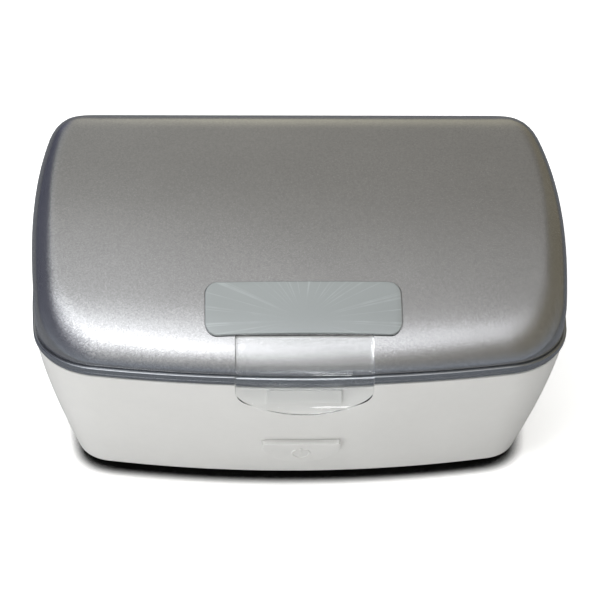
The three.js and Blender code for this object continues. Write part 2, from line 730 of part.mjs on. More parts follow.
function fanRotor() {
  const centre = [FAN.x, FAN.y];
  const hub = join(
    bar("z", HUB_R, FAN.z0 + 2.9, FAN.z1 - 0.4, centre, 24),
    bar("z", FAN_SHAFT_R, FAN.z0 + 0.9, FAN.z0 + 4, centre, 12),
  );
  const blades = Array.from({ length: BLADES }, (_, i) => {
    const blade = new THREE.BoxGeometry(7.6, 0.9, 4.4).rotateX(0.75).translate(9.2, 0, 0);
    blade.rotateZ((i * 2 * Math.PI) / BLADES);
    return toSolid(blade.translate(FAN.x, FAN.y, FAN.z0 + 4.7));
  });
  return join(hub, ...blades);
}

function heaterDuct() {
  const tube = cut(
    square(DUCT.half, DUCT.z0, DUCT.z1, 2),
    square(DUCT.half - DUCT.wall, DUCT.z0 - 1, DUCT.z1 + 1, 1),
  );
  const legs = [-1, 1].flatMap((s) =>
    [-13, 6].map((dy) => {
      const [x, y] = [FAN.x + s * (DUCT.half - 1), FAN.y + dy];
      return block(x - 1, x + 1, y - 1.5, y + 1.5, COVER_TOP + GAP, DUCT.z0 + 1);
    }),
  );
  const ledges = [-1, 1].map((s) => {
    const x = FAN.x + s * (DUCT.half - DUCT.wall - 0.5);
    return block(x - 1, x + 1, FAN.y - 6, FAN.y + 6, DUCT.z0, HEATER.z0 - GAP);
  });
  return join(tube, ...legs, ...ledges);
}

function heaterBlock() {
  const body = block(
    FAN.x - HEATER.halfX,
    FAN.x + HEATER.halfX,
    FAN.y - HEATER.halfY,
    FAN.y + HEATER.halfY,
    HEATER.z0,
    HEATER.z1,
  );
  const grooves = Array.from({ length: FINS }, (_, i) => {
    const x = FAN.x + (i - (FINS - 1) / 2) * FIN_PITCH;
    return block(x - 0.8, x + 0.8, FAN.y - 10, FAN.y + 10, HEATER.z0 + 1.5, HEATER.z1 + 1);
  });
  return cut(body, ...grooves);
}

piece("fan_frame", fanFrame(), blackPlastic);
piece("fan_rotor", fanRotor(), blackPlastic);
piece("heater_duct", heaterDuct(), innerWhite);
piece("heater_block", heaterBlock(), aluminium);

// ---- electronics ----

const onBoard = BOARD.z1 + GAP;

const SWITCH = { half: 3, y0: -33, y1: -29, above: 3.5, stemR: 1.5, stemEnd: -34 };
const INLET = { half: 4.5, front: 30, above: 4.8, barrelR: 3.6, boreR: 2.8, pinR: 1 };
const INVERTER = { x0: -44, x1: -18, y0: -22, y1: -6, height: 6.2 };
const CAPACITOR = { r: 3.2, height: 6.4, at: [-8, -18] };
const CHIP = { x0: -18, x1: -8, y0: 4, y1: 12, height: 1.6 };

function boardBlock({ x0, x1, y0, y1, height }) {
  return block(x0, x1, y0, y1, onBoard, onBoard + height);
}

function tactSwitch() {
  return join(
    block(-SWITCH.half, SWITCH.half, SWITCH.y0, SWITCH.y1, onBoard, SWITCH_Z + SWITCH.above),
    bar("y", SWITCH.stemR, SWITCH.stemEnd, SWITCH.y0 + 1, [0, SWITCH_Z], 12),
  );
}

function dcSocket() {
  const { x, z, back, mouth } = SOCKET;
  const body = join(
    block(x - INLET.half, x + INLET.half, INLET.front, back, onBoard, z + INLET.above),
    bar("y", INLET.barrelR, back - 1, mouth, [x, z], 24),
  );
  return join(
    cut(body, bar("y", INLET.boreR, INLET.front + 6, mouth + 1, [x, z], 24)),
    bar("y", INLET.pinR, INLET.front + 5, mouth - 1, [x, z], 12),
  );
}

piece("main_board", block(BOARD.x0, BOARD.x1, BOARD.y0, BOARD.y1, BOARD.z0, BOARD.z1), boardGreen);
piece("tact_switch", tactSwitch(), blackPlastic);
piece("dc_socket", dcSocket(), blackPlastic);
piece("lamp_inverter", boardBlock(INVERTER), copper);
piece(
  "capacitor",
  bar("z", CAPACITOR.r, onBoard, onBoard + CAPACITOR.height, CAPACITOR.at),
  blackPlastic,
);
piece("control_chip", boardBlock(CHIP), blackPlastic);
piece("reed_switch", bar("y", REED.r, -REED.half, REED.half, [REED.x, REED.z], 12), glass);

// ---- power button ----

const LUG = { near: 9, far: 12.6, front: -44.2, height: 3 }; // stops behind the wall
const PLUNGER_R = 2;

function powerButton() {
  const { top, bottom, faceTop, faceBottom } = BUTTON;
  const lean = [
    [faceTop, top],
    [faceTop - 10, top],
    [faceTop - 10, bottom - 10],
    [faceBottom + (faceBottom - faceTop) * 0.5, bottom - (top - bottom) * 0.5],
    [faceBottom, bottom],
  ];
  const head = cut(alongY(buttonShape(0), -54, BUTTON_BACK), alongX(polygon(lean), -14, 14));
  const lugs = [-1, 1].map((s) => {
    const [a, b] = [s * LUG.near, s * LUG.far].sort((p, q) => p - q);
    return block(a, b, LUG.front, BUTTON_BACK, SWITCH_Z, SWITCH_Z + LUG.height);
  });
  return join(head, ...lugs, bar("y", PLUNGER_R, BUTTON_BACK - 1, PLUNGER_END, [0, SWITCH_Z], 16));
}

piece("power_button", powerButton(), whitePlastic);

// ---- lid ----

const domeFoot = RIM_TOP + GAP;

function labelSeat() {
  const [front, back] = [LABEL_FRONT - GAP, LABEL_BACK + GAP];
  return domePlate(LABEL_HALF + GAP, front, back, LABEL_CORNER + GAP, LABEL_SEAT, 3);
}

function lidDome() {
  const shell = domeShell(0, 0, DOME_WALL, domeFoot, 7);
  return cut(shell, labelSeat(), ...lidNotches(-HINGE_X), ...lidNotches(HINGE_X));
}

function lidRim() {
  const profile = [
    [0, RIM_Z],
    [0, RIM_TOP - RIM_CHAMFER],
    [RIM_CHAMFER, RIM_TOP],
    [RIM_RING, RIM_TOP],
    [RIM_RING, RIM_Z],
  ];
  let ring = loft(
    profile.map(([inset, z]) => level(rimOutline(inset), z)),
    true,
  );
  for (const x of [-HINGE_X, HINGE_X]) {
    ring = cut(join(cut(ring, ...lidNotches(x)), lidKnuckle(x)), pinBore(x));
  }
  const { x, halfX, halfY, z0, z1 } = MAGNET;
  const pocket = block(x - halfX - GAP, x + halfX + GAP, -halfY - GAP, halfY + GAP, z0 - 1, z1 + GAP);
  return cut(ring, pocket);
}

function gasket() {
  const [outer, inner] = [GASKET_INSET, GASKET_INSET + GASKET_W];
  const top = RIM_Z - GAP;
  const corners = [
    [outer, top - GASKET_H],
    [outer, top],
    [inner, top],
    [inner, top - GASKET_H],
  ];
  return loft(
    corners.map(([inset, z]) => level(rimOutline(inset), z)),
    true,
  );
}

function magnet() {
  const { x, halfX, halfY, z0, z1 } = MAGNET;
  return block(x - halfX, x + halfX, -halfY, halfY, z0, z1);
}

piece("lid_dome", lidDome(), silver);
piece("lid_rim", lidRim(), rimGrey);
piece(
  "lid_liner",
  domeShell(DOME_WALL + LINER_GAP, DOME_WALL * 1.1 + LINER_GAP + 0.6, LINER_WALL, domeFoot, 3),
  innerWhite,
);
piece("lid_gasket", gasket(), seal);
piece("lid_magnet", magnet(), steel);
piece(
  "label_plate",
  domePlate(LABEL_HALF, LABEL_FRONT, LABEL_BACK, LABEL_CORNER, LABEL_UNDER, LABEL_OVER),
  labelGrey,
);

// ---- latch ----

// The tab's inner face in Y and Z, from the label's lower edge over the rim, down past the catch and
// out again to a lip for the finger.
const LATCH_LINE = [
  [-48.2, 52.5],
  [-50.8, 50.9],
  [-53.2, 49],
  [-55, 47],
  [LATCH_FACE_Y, 44.6],
  [LATCH_FACE_Y, 41.6],
  [LATCH_FACE_Y, 38.6],
  [LATCH_FACE_Y - 0.35, 36.4],
  [LATCH_FACE_Y - 1.2, LATCH_TIP_Z],
].map(([y, z]) => new THREE.Vector2(y, z));

// The tab's section, between two distances along its line.
function latchSection(from, to) {
  const spline = new THREE.SplineCurve(LATCH_LINE);
  const length = spline.getLength();
  const steps = Math.max(2, Math.round((to - from) / 1.2));
  const inner = [];
  const outer = [];
  for (let i = 0; i <= steps; i++) {
    const t = THREE.MathUtils.lerp(from, to, i / steps) / length;
    const p = spline.getPointAt(Math.min(t, 1));
    const d = spline.getTangentAt(Math.min(t, 1));
    inner.push([p.x, p.y]);
    outer.unshift([p.x + d.y * LATCH_T, p.y - d.x * LATCH_T]);
  }
  return polygon([...inner, ...outer]);
}

// The tab seen from the front: straight sides and a round lip.
function tabOutline() {
  const shape = new THREE.Shape();
  const lip = LATCH_SHOULDER_Z - LATCH_TIP_Z;
  shape.moveTo(-LATCH_HALF, 60);
  shape.lineTo(-LATCH_HALF, LATCH_SHOULDER_Z);
  shape.absellipse(0, LATCH_SHOULDER_Z, LATCH_HALF, lip, Math.PI, 2 * Math.PI);
  shape.lineTo(LATCH_HALF, 60);
  return shape;
}

function latch() {
  const length = new THREE.SplineCurve(LATCH_LINE).getLength();
  const strip = alongX(latchSection(ANCHOR_LENGTH + GAP, length), -LATCH_HALF, LATCH_HALF);
  const hook = block(-HOOK.half, HOOK.half, LATCH_FACE_Y - 1.2, HOOK.back, HOOK.z0, HOOK.z1);
  return join(strip.intersect(alongY(tabOutline(), -70, -40)), hook);
}

piece("latch_anchor", alongX(latchSection(0, ANCHOR_LENGTH), -LATCH_HALF, LATCH_HALF), clear);
piece("latch", latch(), clear);

export default dryingBox;
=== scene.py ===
"""Looks of an electric drying box: a flared white base and a domed silver lid with a clear latch tab.

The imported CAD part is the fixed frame. Shapes are worked out in millimetres and written in metres,
and each fine piece stands for the coarse CAD node it names.
"""

import json
import math

import bmesh
import bpy
import numpy as np
from mathutils import Matrix, Vector
from mathutils.bvhtree import BVHTree
from mathutils.geometry import barycentric_transform

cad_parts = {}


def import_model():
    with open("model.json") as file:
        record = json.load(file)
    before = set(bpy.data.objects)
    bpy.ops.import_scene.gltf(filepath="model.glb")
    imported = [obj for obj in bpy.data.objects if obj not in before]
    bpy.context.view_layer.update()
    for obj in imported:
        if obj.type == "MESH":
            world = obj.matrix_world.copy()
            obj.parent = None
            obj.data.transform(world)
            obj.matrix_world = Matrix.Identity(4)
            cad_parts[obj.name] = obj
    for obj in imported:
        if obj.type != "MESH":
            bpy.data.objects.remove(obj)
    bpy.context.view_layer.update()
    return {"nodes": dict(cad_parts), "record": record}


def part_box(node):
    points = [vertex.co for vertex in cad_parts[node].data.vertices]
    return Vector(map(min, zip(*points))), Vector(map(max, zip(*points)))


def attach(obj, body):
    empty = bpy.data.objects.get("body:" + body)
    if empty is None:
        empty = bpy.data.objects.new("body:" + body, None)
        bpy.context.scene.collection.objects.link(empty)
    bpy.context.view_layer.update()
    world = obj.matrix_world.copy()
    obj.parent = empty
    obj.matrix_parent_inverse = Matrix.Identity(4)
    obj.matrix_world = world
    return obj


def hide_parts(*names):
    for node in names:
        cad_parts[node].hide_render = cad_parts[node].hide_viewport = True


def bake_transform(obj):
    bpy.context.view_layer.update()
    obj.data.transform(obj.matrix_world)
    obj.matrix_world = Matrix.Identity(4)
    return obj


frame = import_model()

MM = 0.001
PI = math.pi


def box_mm(node):
    low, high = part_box(node)
    return np.array(low) / MM, np.array(high) / MM


# ---- driving sizes, in millimetres, from the frame ----

RIM_LOW, RIM_HIGH = box_mm("lid_rim")
DOME_LOW, DOME_HIGH = box_mm("lid_dome")
LABEL_LOW, LABEL_HIGH = box_mm("label_plate")
LATCH_LOW, LATCH_HIGH = box_mm("latch")
BUTTON_LOW, BUTTON_HIGH = box_mm("power_button")
PIN_LOW, PIN_HIGH = box_mm("hinge_pin_right")
SOCKET_LOW, SOCKET_HIGH = box_mm("dc_socket")

HALF_WIDTH = RIM_HIGH[0]
HALF_DEPTH = -RIM_LOW[1]
FOOT_H = box_mm("base_shell")[0][2]
DOME_FOOT = DOME_LOW[2]
GAP = 0.3
RIM_TOP = DOME_FOOT - GAP
RIM_H = 3.4
RIM_Z = RIM_TOP - RIM_H
TOP_Z = DOME_HIGH[2]

# The bowed outline and the dome, as the CAD part has them
FRONT_BOW, SIDE_BOW, BACK_BOW = 7.8, 5.7, 2.5
FRONT_CORNER, BACK_CORNER = 19.3, 15.4
CROWN_Y = 26
CROWN_POWER, FRONT_POWER = 2.244, 0.66
BACK_FALL = 0.018
DOME_SIDE_INSET, DOME_FRONT_INSET, DOME_BACK_INSET = 0.7, 1, 2
DOME_BASE = 44.8  # the dome's lower edge, let into the rim
RIM_EDGE = 44.6  # the rim's outer edge, just below it
SIDE_ROLL, FRONT_SPREAD, BACK_ROLL = 6.4, 9, 8.2
CORNER_SHRINK = 0.35
EDGE_RISE = (0.1, 1.3)  # the least height over the foot, at the wall's bottom and what the roll adds
DOME_WALL, LINER_WALL, LINER_GAP = 2, 1.5, 0.6
CROWN_WALL = 1.1  # how much thicker the crown is than the side walls
RIM_RING = 6.5
SEAL_OUTER, SEAL_INNER, SEAL_R = 3.4, 5.0, 0.4

LABEL_HALF = LABEL_HIGH[0]
LABEL_FRONT, LABEL_BACK, LABEL_CORNER = -47.4, -34.3, 3.2
LABEL_SEAT_GAP, LABEL_SEAT_DEPTH = 0.22, 0.8

BASE_INSET, BASE_WALL = 0.6, 2.2
BASE_TOP = RIM_Z - 0.4
FLARE = 1.307
FLOOR_HALF_WIDTH, FLOOR_FRONT, FLOOR_BACK, FLOOR_FRONT_BOW = 63.5, -42.8, 42, 6.6
FLOOR_FRONT_CORNER, FLOOR_BACK_CORNER = 10.4, 12
FOOT_EDGE, TOP_EDGE = 0.9, 0.4  # roundings of the shell's lower and upper edge
LEDGE_Z, LEDGE_W = 37.9, 2.2
CATCH_X, CATCH_Y, CATCH_Z = (-9.7, 9.7), (-55.1, -53), (36.5, 41.2)

HINGE_X = (PIN_LOW[0] + PIN_HIGH[0]) / 2
HINGE_Y = (PIN_LOW[1] + PIN_HIGH[1]) / 2
HINGE_Z = (PIN_LOW[2] + PIN_HIGH[2]) / 2
KNUCKLE_R = RIM_HIGH[1] - HINGE_Y
LID_KNUCKLE, BASE_KNUCKLE, KNUCKLE_GAP = 8, 4, 0.5
PIN_R, PIN_BORE_R = 1.2, 1.35
NOTCH_NEAR = LID_KNUCKLE / 2 + 0.1  # the lid's cut-outs for the base's knuckles, from each hinge's middle
NOTCH_FAR = LID_KNUCKLE / 2 + KNUCKLE_GAP + BASE_KNUCKLE + 0.4

LATCH_HALF = LATCH_HIGH[0]
LATCH_FACE = -HALF_DEPTH - 0.4
LATCH_T = 2
LATCH_SHOULDER_Z = 41.6
LATCH_ANCHOR = 1.6
LATCH_CORNER = 0.3
LATCH_EDGE = 0.42
HOOK_HALF, HOOK_Z, HOOK_R, HOOK_DEPTH = 11, 35.9, 1.5, 0.5

BUTTON = {"half": 10.4, "top": BUTTON_HIGH[2], "shoulder": 16, "bottom": BUTTON_LOW[2]}
BUTTON_TOP_Y, BUTTON_BOTTOM_Y, BUTTON_BACK_Y = BUTTON_LOW[1], -45.9, -43
BUTTON_GAP = 0.08
POWER_MARK_Z = 12.9

SOCKET_X = (SOCKET_LOW[0] + SOCKET_HIGH[0]) / 2
SOCKET_Z = 13.6

ARC_STEPS = (26, 20, 24, 16, 18)  # along each arc of half an outline
SHARP_ANGLE = 35  # degrees; edges that turn more than this stay crisp

# The room: how bright it is to matt surfaces and its colours there from left to right, then what
# gloss sees: colours from left to right at the horizon and above, the dim front, side walls as edge,
# full and colour, and glows as direction, outer and inner angle and level
ROOM_LEVEL = 0.43
ROOM_PALE = [(0.0, (1.0, 1.0, 1.0)), (0.5, (0.78, 0.78, 0.77)), (1.0, (0.52, 0.49, 0.44))]
ROOM_HORIZON = [
    (0.0, (0.04, 0.045, 0.09)),
    (0.3, (0.1, 0.105, 0.18)),
    (0.5, (0.62, 0.60, 0.49)),
    (0.75, (0.26, 0.235, 0.17)),
]
ROOM_ABOVE = [(0.2, (0.41, 0.42, 0.41)), (0.5, (0.318, 0.308, 0.282)), (0.75, (0.185, 0.174, 0.152))]
ROOM_FRONT = (0.25, 0.28, 0.33)
ROOM_WALLS = [(-0.3, -0.46, (0.05, 0.055, 0.095)), (0.34, 0.5, (0.19, 0.17, 0.12))]
GLOW = ((-0.46, -0.26, 0.86), 68, 10, 0.33)
PATCHES = [
    ((-0.08, -0.45, 0.88), 25, 5, 0.76),
    ((-0.32, -0.54, 0.78), 24, 6, 0.3),
    ((-0.46, -0.31, 0.83), 16, 4, 0.5),
    ((0.26, -0.44, 0.86), 13, 4, 0.68),
]
TABLE_GLOW, TABLE_GLOW_UNSEEN = 0.6, 0.17  # the table's own light, to the camera and to all else


# ---- the outline and the dome's surface ----


def smoothstep(t):
    t = np.clip(t, 0, 1)
    return t * t * (3 - 2 * t)


def corner_centre(a, a_radius, b, b_radius, radius, upper):
    """Where a corner's circle sits between two of the outline's long arcs."""
    between = b - a
    d = np.linalg.norm(between)
    ra, rb = a_radius - radius, b_radius - radius
    along = (d * d + ra * ra - rb * rb) / (2 * d)
    across = math.sqrt(max(ra * ra - along * along, 0))
    u = between / d
    sideways = np.array([-u[1], u[0]])
    choices = sorted((a + u * along + sideways * s for s in (across, -across)), key=lambda p: p[1])
    return choices[1] if upper else choices[0]


def bowed_outline(half_width, front, back, bows, corners):
    """A rounded rectangle whose sides are shallow arcs, counter-clockwise from the front centre.
    A row holds x, y and the outward normal."""
    front_bow, side_bow, back_bow = bows
    front_corner, back_corner = corners
    half_depth = (back - front) / 2
    front_r = half_width**2 / (2 * front_bow)
    back_r = half_width**2 / (2 * back_bow)
    side_r = half_depth**2 / (2 * side_bow)
    front_c = np.array([0, front + front_r])
    back_c = np.array([0, back - back_r])
    side_c = np.array([half_width - side_r, (front + back) / 2])
    low = corner_centre(front_c, front_r, side_c, side_r, front_corner, False)
    high = corner_centre(back_c, back_r, side_c, side_r, back_corner, True)

    def angle(c, p):
        return math.atan2(p[1] - c[1], p[0] - c[0])

    turns = [-PI / 2, angle(front_c, low), angle(side_c, low)]
    turns += [angle(side_c, high), angle(back_c, high), PI / 2]
    arcs = [(front_c, front_r), (low, front_corner), (side_c, side_r), (high, back_corner), (back_c, back_r)]
    rows = []
    for k, (centre, radius) in enumerate(arcs):
        t = np.linspace(turns[k], turns[k + 1], ARC_STEPS[k], endpoint=False)
        normal = np.stack([np.cos(t), np.sin(t)], 1)
        rows.append(np.hstack([centre + radius * normal, normal]))
    right = np.vstack([*rows, [[0, back, 0, 1]]])
    left = right[1:-1][::-1] * [-1, 1, -1, 1]
    return np.vstack([right, left])


def rim_outline(inset):
    return bowed_outline(
        HALF_WIDTH - inset,
        -HALF_DEPTH + inset,
        HALF_DEPTH - inset,
        (FRONT_BOW, SIDE_BOW, BACK_BOW),
        (FRONT_CORNER - inset, BACK_CORNER - inset),
    )


def base_outline(z, inset):
    w = max((RIM_Z - z) / (RIM_Z - FOOT_H), 0) ** FLARE

    def mix(rim, floor):
        return rim + (floor - rim) * w

    return bowed_outline(
        mix(HALF_WIDTH - BASE_INSET, FLOOR_HALF_WIDTH) - inset,
        mix(-HALF_DEPTH + BASE_INSET, FLOOR_FRONT) + inset,
        mix(HALF_DEPTH - BASE_INSET, FLOOR_BACK) - inset,
        (mix(FRONT_BOW, FLOOR_FRONT_BOW), SIDE_BOW, BACK_BOW),
        (mix(FRONT_CORNER, FLOOR_FRONT_CORNER) - inset, mix(BACK_CORNER, FLOOR_BACK_CORNER) - inset),
    )


def level(outline, z):
    return np.column_stack([outline[:, :2], np.full(len(outline), z)])


def profile_height(y):
    reach = CROWN_Y + HALF_DEPTH - DOME_FRONT_INSET
    u = np.clip((CROWN_Y - y) / reach, 0, 1)
    front = DOME_BASE + (TOP_Z - DOME_BASE) * (1 - u**CROWN_POWER) ** FRONT_POWER
    return np.where(y >= CROWN_Y, TOP_Z - BACK_FALL * (y - CROWN_Y) ** 2, front)


def dome_height(x, y):
    bow = FRONT_BOW * (x / HALF_WIDTH) ** 2
    return profile_height(y - bow * smoothstep(-y / HALF_DEPTH))


def dome_rings(inset, drop, foot, steps, crown_steps):
    """Rings up the wall, over the roll and in to the middle of the crown."""
    rings = []
    for i in range(steps + 1):
        share = i / steps
        rise = 1 - math.cos(share * PI / 2)
        fall = 1 - math.sin(share * PI / 2)
        side = DOME_SIDE_INSET + inset + SIDE_ROLL * rise
        front = DOME_FRONT_INSET + inset + FRONT_SPREAD * rise
        back = DOME_BACK_INSET + inset + BACK_ROLL * rise
        o = bowed_outline(
            HALF_WIDTH - side,
            -HALF_DEPTH + front,
            HALF_DEPTH - back,
            (FRONT_BOW, SIDE_BOW, BACK_BOW),
            (FRONT_CORNER - CORNER_SHRINK * (side + front), BACK_CORNER - CORNER_SHRINK * (side + back)),
        )
        if i == 0:
            rings.append(level(o, foot))
        roll = (o[:, 2] ** 2 * SIDE_ROLL + np.maximum(o[:, 3], 0) ** 2 * BACK_ROLL) * fall
        least = foot + EDGE_RISE[0] + EDGE_RISE[1] * share
        z = np.maximum(dome_height(o[:, 0], o[:, 1]) - drop - roll, least)
        rings.append(np.column_stack([o[:, :2], z]))
    last = rings[-1][:, :2]
    for k in np.linspace(1, 0, crown_steps, endpoint=False)[1:]:
        xy = last * k
        rings.append(np.column_stack([xy, dome_height(xy[:, 0], xy[:, 1]) - drop]))
    return rings


def dome_shell_rings(inset, drop, wall, foot, steps, crown_steps):
    outside = dome_rings(inset, drop, foot, steps, crown_steps)
    inside = dome_rings(inset + wall, drop + wall * CROWN_WALL, foot, steps, crown_steps)
    return outside[::-1] + inside


def on_dome(x, y, offset):
    """Points on the dome, moved out along its normal."""
    e = 0.05
    dx = (dome_height(x + e, y) - dome_height(x - e, y)) / (2 * e)
    dy = (dome_height(x, y + e) - dome_height(x, y - e)) / (2 * e)
    n = np.stack([-dx, -dy, np.ones_like(dx)], 1)
    n /= np.linalg.norm(n, axis=1)[:, None]
    return np.column_stack([x, y, dome_height(x, y)]) + n * offset


# ---- meshes ----


def new_object(name, mesh):
    obj = bpy.data.objects.new(name, mesh)
    bpy.context.scene.collection.objects.link(obj)
    return obj


def from_bmesh(name, bm, smooth_angle=SHARP_ANGLE):
    bmesh.ops.recalc_face_normals(bm, faces=bm.faces)
    mesh = bpy.data.meshes.new(name)
    bm.to_mesh(mesh)
    bm.free()
    mesh.shade_smooth()
    mesh.set_sharp_from_angle(angle=math.radians(smooth_angle))
    return new_object(name, mesh)


def add_skin(bm, rings, closed=False):
    """Adds a closed skin through rings of matching points. Closed rings make a tube wall; otherwise
    the first and last rings are capped with a fan round their middle."""
    rows = [[bm.verts.new(Vector(p) * MM) for p in ring] for ring in rings]
    pairs = list(zip(rows, rows[1:]))
    if closed:
        pairs.append((rows[-1], rows[0]))
    for a, b in pairs:
        for i in range(len(a)):
            j = (i + 1) % len(a)
            bm.faces.new((a[i], a[j], b[j], b[i]))
    if not closed:
        for ring, row in ((rings[0], rows[0]), (rings[-1], rows[-1])):
            pole = bm.verts.new(Vector(np.mean(ring, 0)) * MM)
            for i in range(len(row)):
                bm.faces.new((row[i], row[(i + 1) % len(row)], pole))


def skin(name, rings, closed=False, smooth_angle=SHARP_ANGLE):
    bm = bmesh.new()
    add_skin(bm, rings, closed)
    return from_bmesh(name, bm, smooth_angle)


def fillet(centre, radius, start, end, steps=5):
    """Points (a, b) on an arc, angles in degrees."""
    t = np.radians(np.linspace(start, end, steps + 1))
    return [(centre[0] + radius * math.cos(a), centre[1] + radius * math.sin(a)) for a in t]


def rounded_rectangle(x0, x1, y0, y1, r, steps=8, straight=6):
    """Counter-clockwise points of a rectangle with round corners and some points on its sides."""
    corners = [(x1 - r, y0 + r, -90), (x1 - r, y1 - r, 0), (x0 + r, y1 - r, 90), (x0 + r, y0 + r, 180)]
    arcs = [np.array(fillet((cx, cy), r, a, a + 90, steps)) for cx, cy, a in corners]
    points = []
    for arc, following in zip(arcs, arcs[1:] + arcs[:1]):
        points.append(arc)
        points.append(np.linspace(arc[-1], following[0], straight + 1)[1:-1])
    return np.vstack(points)


def shrink(points, inset):
    """A closed outline moved inwards by inset, along the bisectors of its corners."""
    before, after = np.roll(points, 1, 0), np.roll(points, -1, 0)
    tangent = after - before
    tangent /= np.linalg.norm(tangent, axis=1)[:, None]
    return points + np.column_stack([-tangent[:, 1], tangent[:, 0]]) * inset


def slab_rings(points, place, under, over, radius, inner_steps=10, edge_steps=4):
    """Rings of a plate with rounded edges. place(a, b, offset) gives the points in space."""
    middle = points.mean(0)
    core = shrink(points, radius)

    def spread(share, offset):
        p = middle + (core - middle) * share
        return place(p[:, 0], p[:, 1], offset)

    rings = [spread(k, over) for k in np.linspace(0, 1, inner_steps + 1)[1:-1]]
    for angle in np.radians(np.linspace(90, 0, edge_steps + 1)):
        p = shrink(points, radius * (1 - math.cos(angle)))
        rings.append(place(p[:, 0], p[:, 1], over - radius * (1 - math.sin(angle))))
    for angle in np.radians(np.linspace(0, 90, edge_steps + 1)):
        p = shrink(points, radius * (1 - math.cos(angle)))
        rings.append(place(p[:, 0], p[:, 1], under + radius * (1 - math.sin(angle))))
    return rings + [spread(k, under) for k in np.linspace(1, 0, inner_steps + 1)[1:-1]]


def turned(name, profile, centre, axis="z", sides=48, closed=False):
    """A turned piece: profile holds (radius, station) from one end's axis to the other's, or, closed,
    round the section of a tube's wall."""
    t = np.linspace(0, 2 * PI, sides, endpoint=False)
    rings = []
    for radius, station in profile:
        u, v, w = radius * np.cos(t), radius * np.sin(t), np.full(sides, station)
        column = {"z": (u, v, w), "y": (v, w, u), "x": (w, u, v)}[axis]
        rings.append(np.column_stack(column) + centre)
    return skin(name, rings, closed)


def brick(name, x, y, z):
    section = np.array([(x[0], y[0]), (x[1], y[0]), (x[1], y[1]), (x[0], y[1])], float)
    return skin(name, [level(section, height) for height in z])


def apply_modifiers(obj):
    graph = bpy.context.evaluated_depsgraph_get()
    mesh = bpy.data.meshes.new_from_object(obj.evaluated_get(graph))
    old = obj.data
    obj.modifiers.clear()
    obj.data = mesh
    bpy.data.meshes.remove(old)


def smooth_normals_from(obj, tree, faces, normals, reach=2e-5, agree=0.96):
    """Gives the corners that still lie on the uncut skin its smooth normals, so a cut leaves no streak."""
    mesh = obj.data
    wanted = [(0.0, 0.0, 0.0)] * len(mesh.loops)
    for polygon in mesh.polygons:
        for loop in polygon.loop_indices:
            point = mesh.vertices[mesh.loops[loop].vertex_index].co
            at, _, index, distance = tree.find_nearest(point)
            if distance is None or distance > reach:
                continue
            corners, corner_normals = faces[index], normals[index]
            normal = barycentric_transform(at, *corners, *corner_normals).normalized()
            if normal.dot(polygon.normal) > agree:
                wanted[loop] = normal
    mesh.normals_split_custom_set(wanted)


def carve(obj, cutters):
    """Cuts closed cutters out of obj and keeps the rest of its skin smooth."""
    mesh = obj.data
    mesh.calc_loop_triangles()
    points = [v.co.copy() for v in mesh.vertices]
    vertex_normals = [v.normal.copy() for v in mesh.vertices]
    triangles = [tuple(t.vertices) for t in mesh.loop_triangles]
    tree = BVHTree.FromPolygons(points, triangles)
    faces = [tuple(points[i] for i in t) for t in triangles]
    normals = [tuple(vertex_normals[i] for i in t) for t in triangles]
    for cutter in cutters:
        modifier = obj.modifiers.new("cut", "BOOLEAN")
        modifier.operation = "DIFFERENCE"
        modifier.solver = "EXACT"
        modifier.object = cutter
        apply_modifiers(obj)
    for cutter in cutters:
        bpy.data.objects.remove(cutter)
    obj.data.shade_smooth()
    obj.data.set_sharp_from_angle(angle=math.radians(SHARP_ANGLE))
    smooth_normals_from(obj, tree, faces, normals)
    return obj


def soften(obj, width, segments):
    """Rounds the sharp edges of a piece made of flat faces."""
    modifier = obj.modifiers.new("soften", "BEVEL")
    modifier.width = width * MM
    modifier.segments = segments
    modifier.limit_method = "ANGLE"
    modifier.angle_limit = math.radians(40)
    modifier.harden_normals = True
    apply_modifiers(obj)
    return obj


def joined(name, pieces):
    """Several finished pieces as one object, each keeping its own closed skin."""
    bm = bmesh.new()
    for obj in pieces:
        bm.from_mesh(obj.data)
        bpy.data.objects.remove(obj)
    return from_bmesh(name, bm)


def settle(obj, body, slot, *nodes):
    """Names what a piece rides on, what it is made of and what it stands for."""
    obj.data.materials.clear()
    obj.data.materials.append(FINISHES[slot])
    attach(obj, body)
    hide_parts(*nodes)


# ---- materials ----


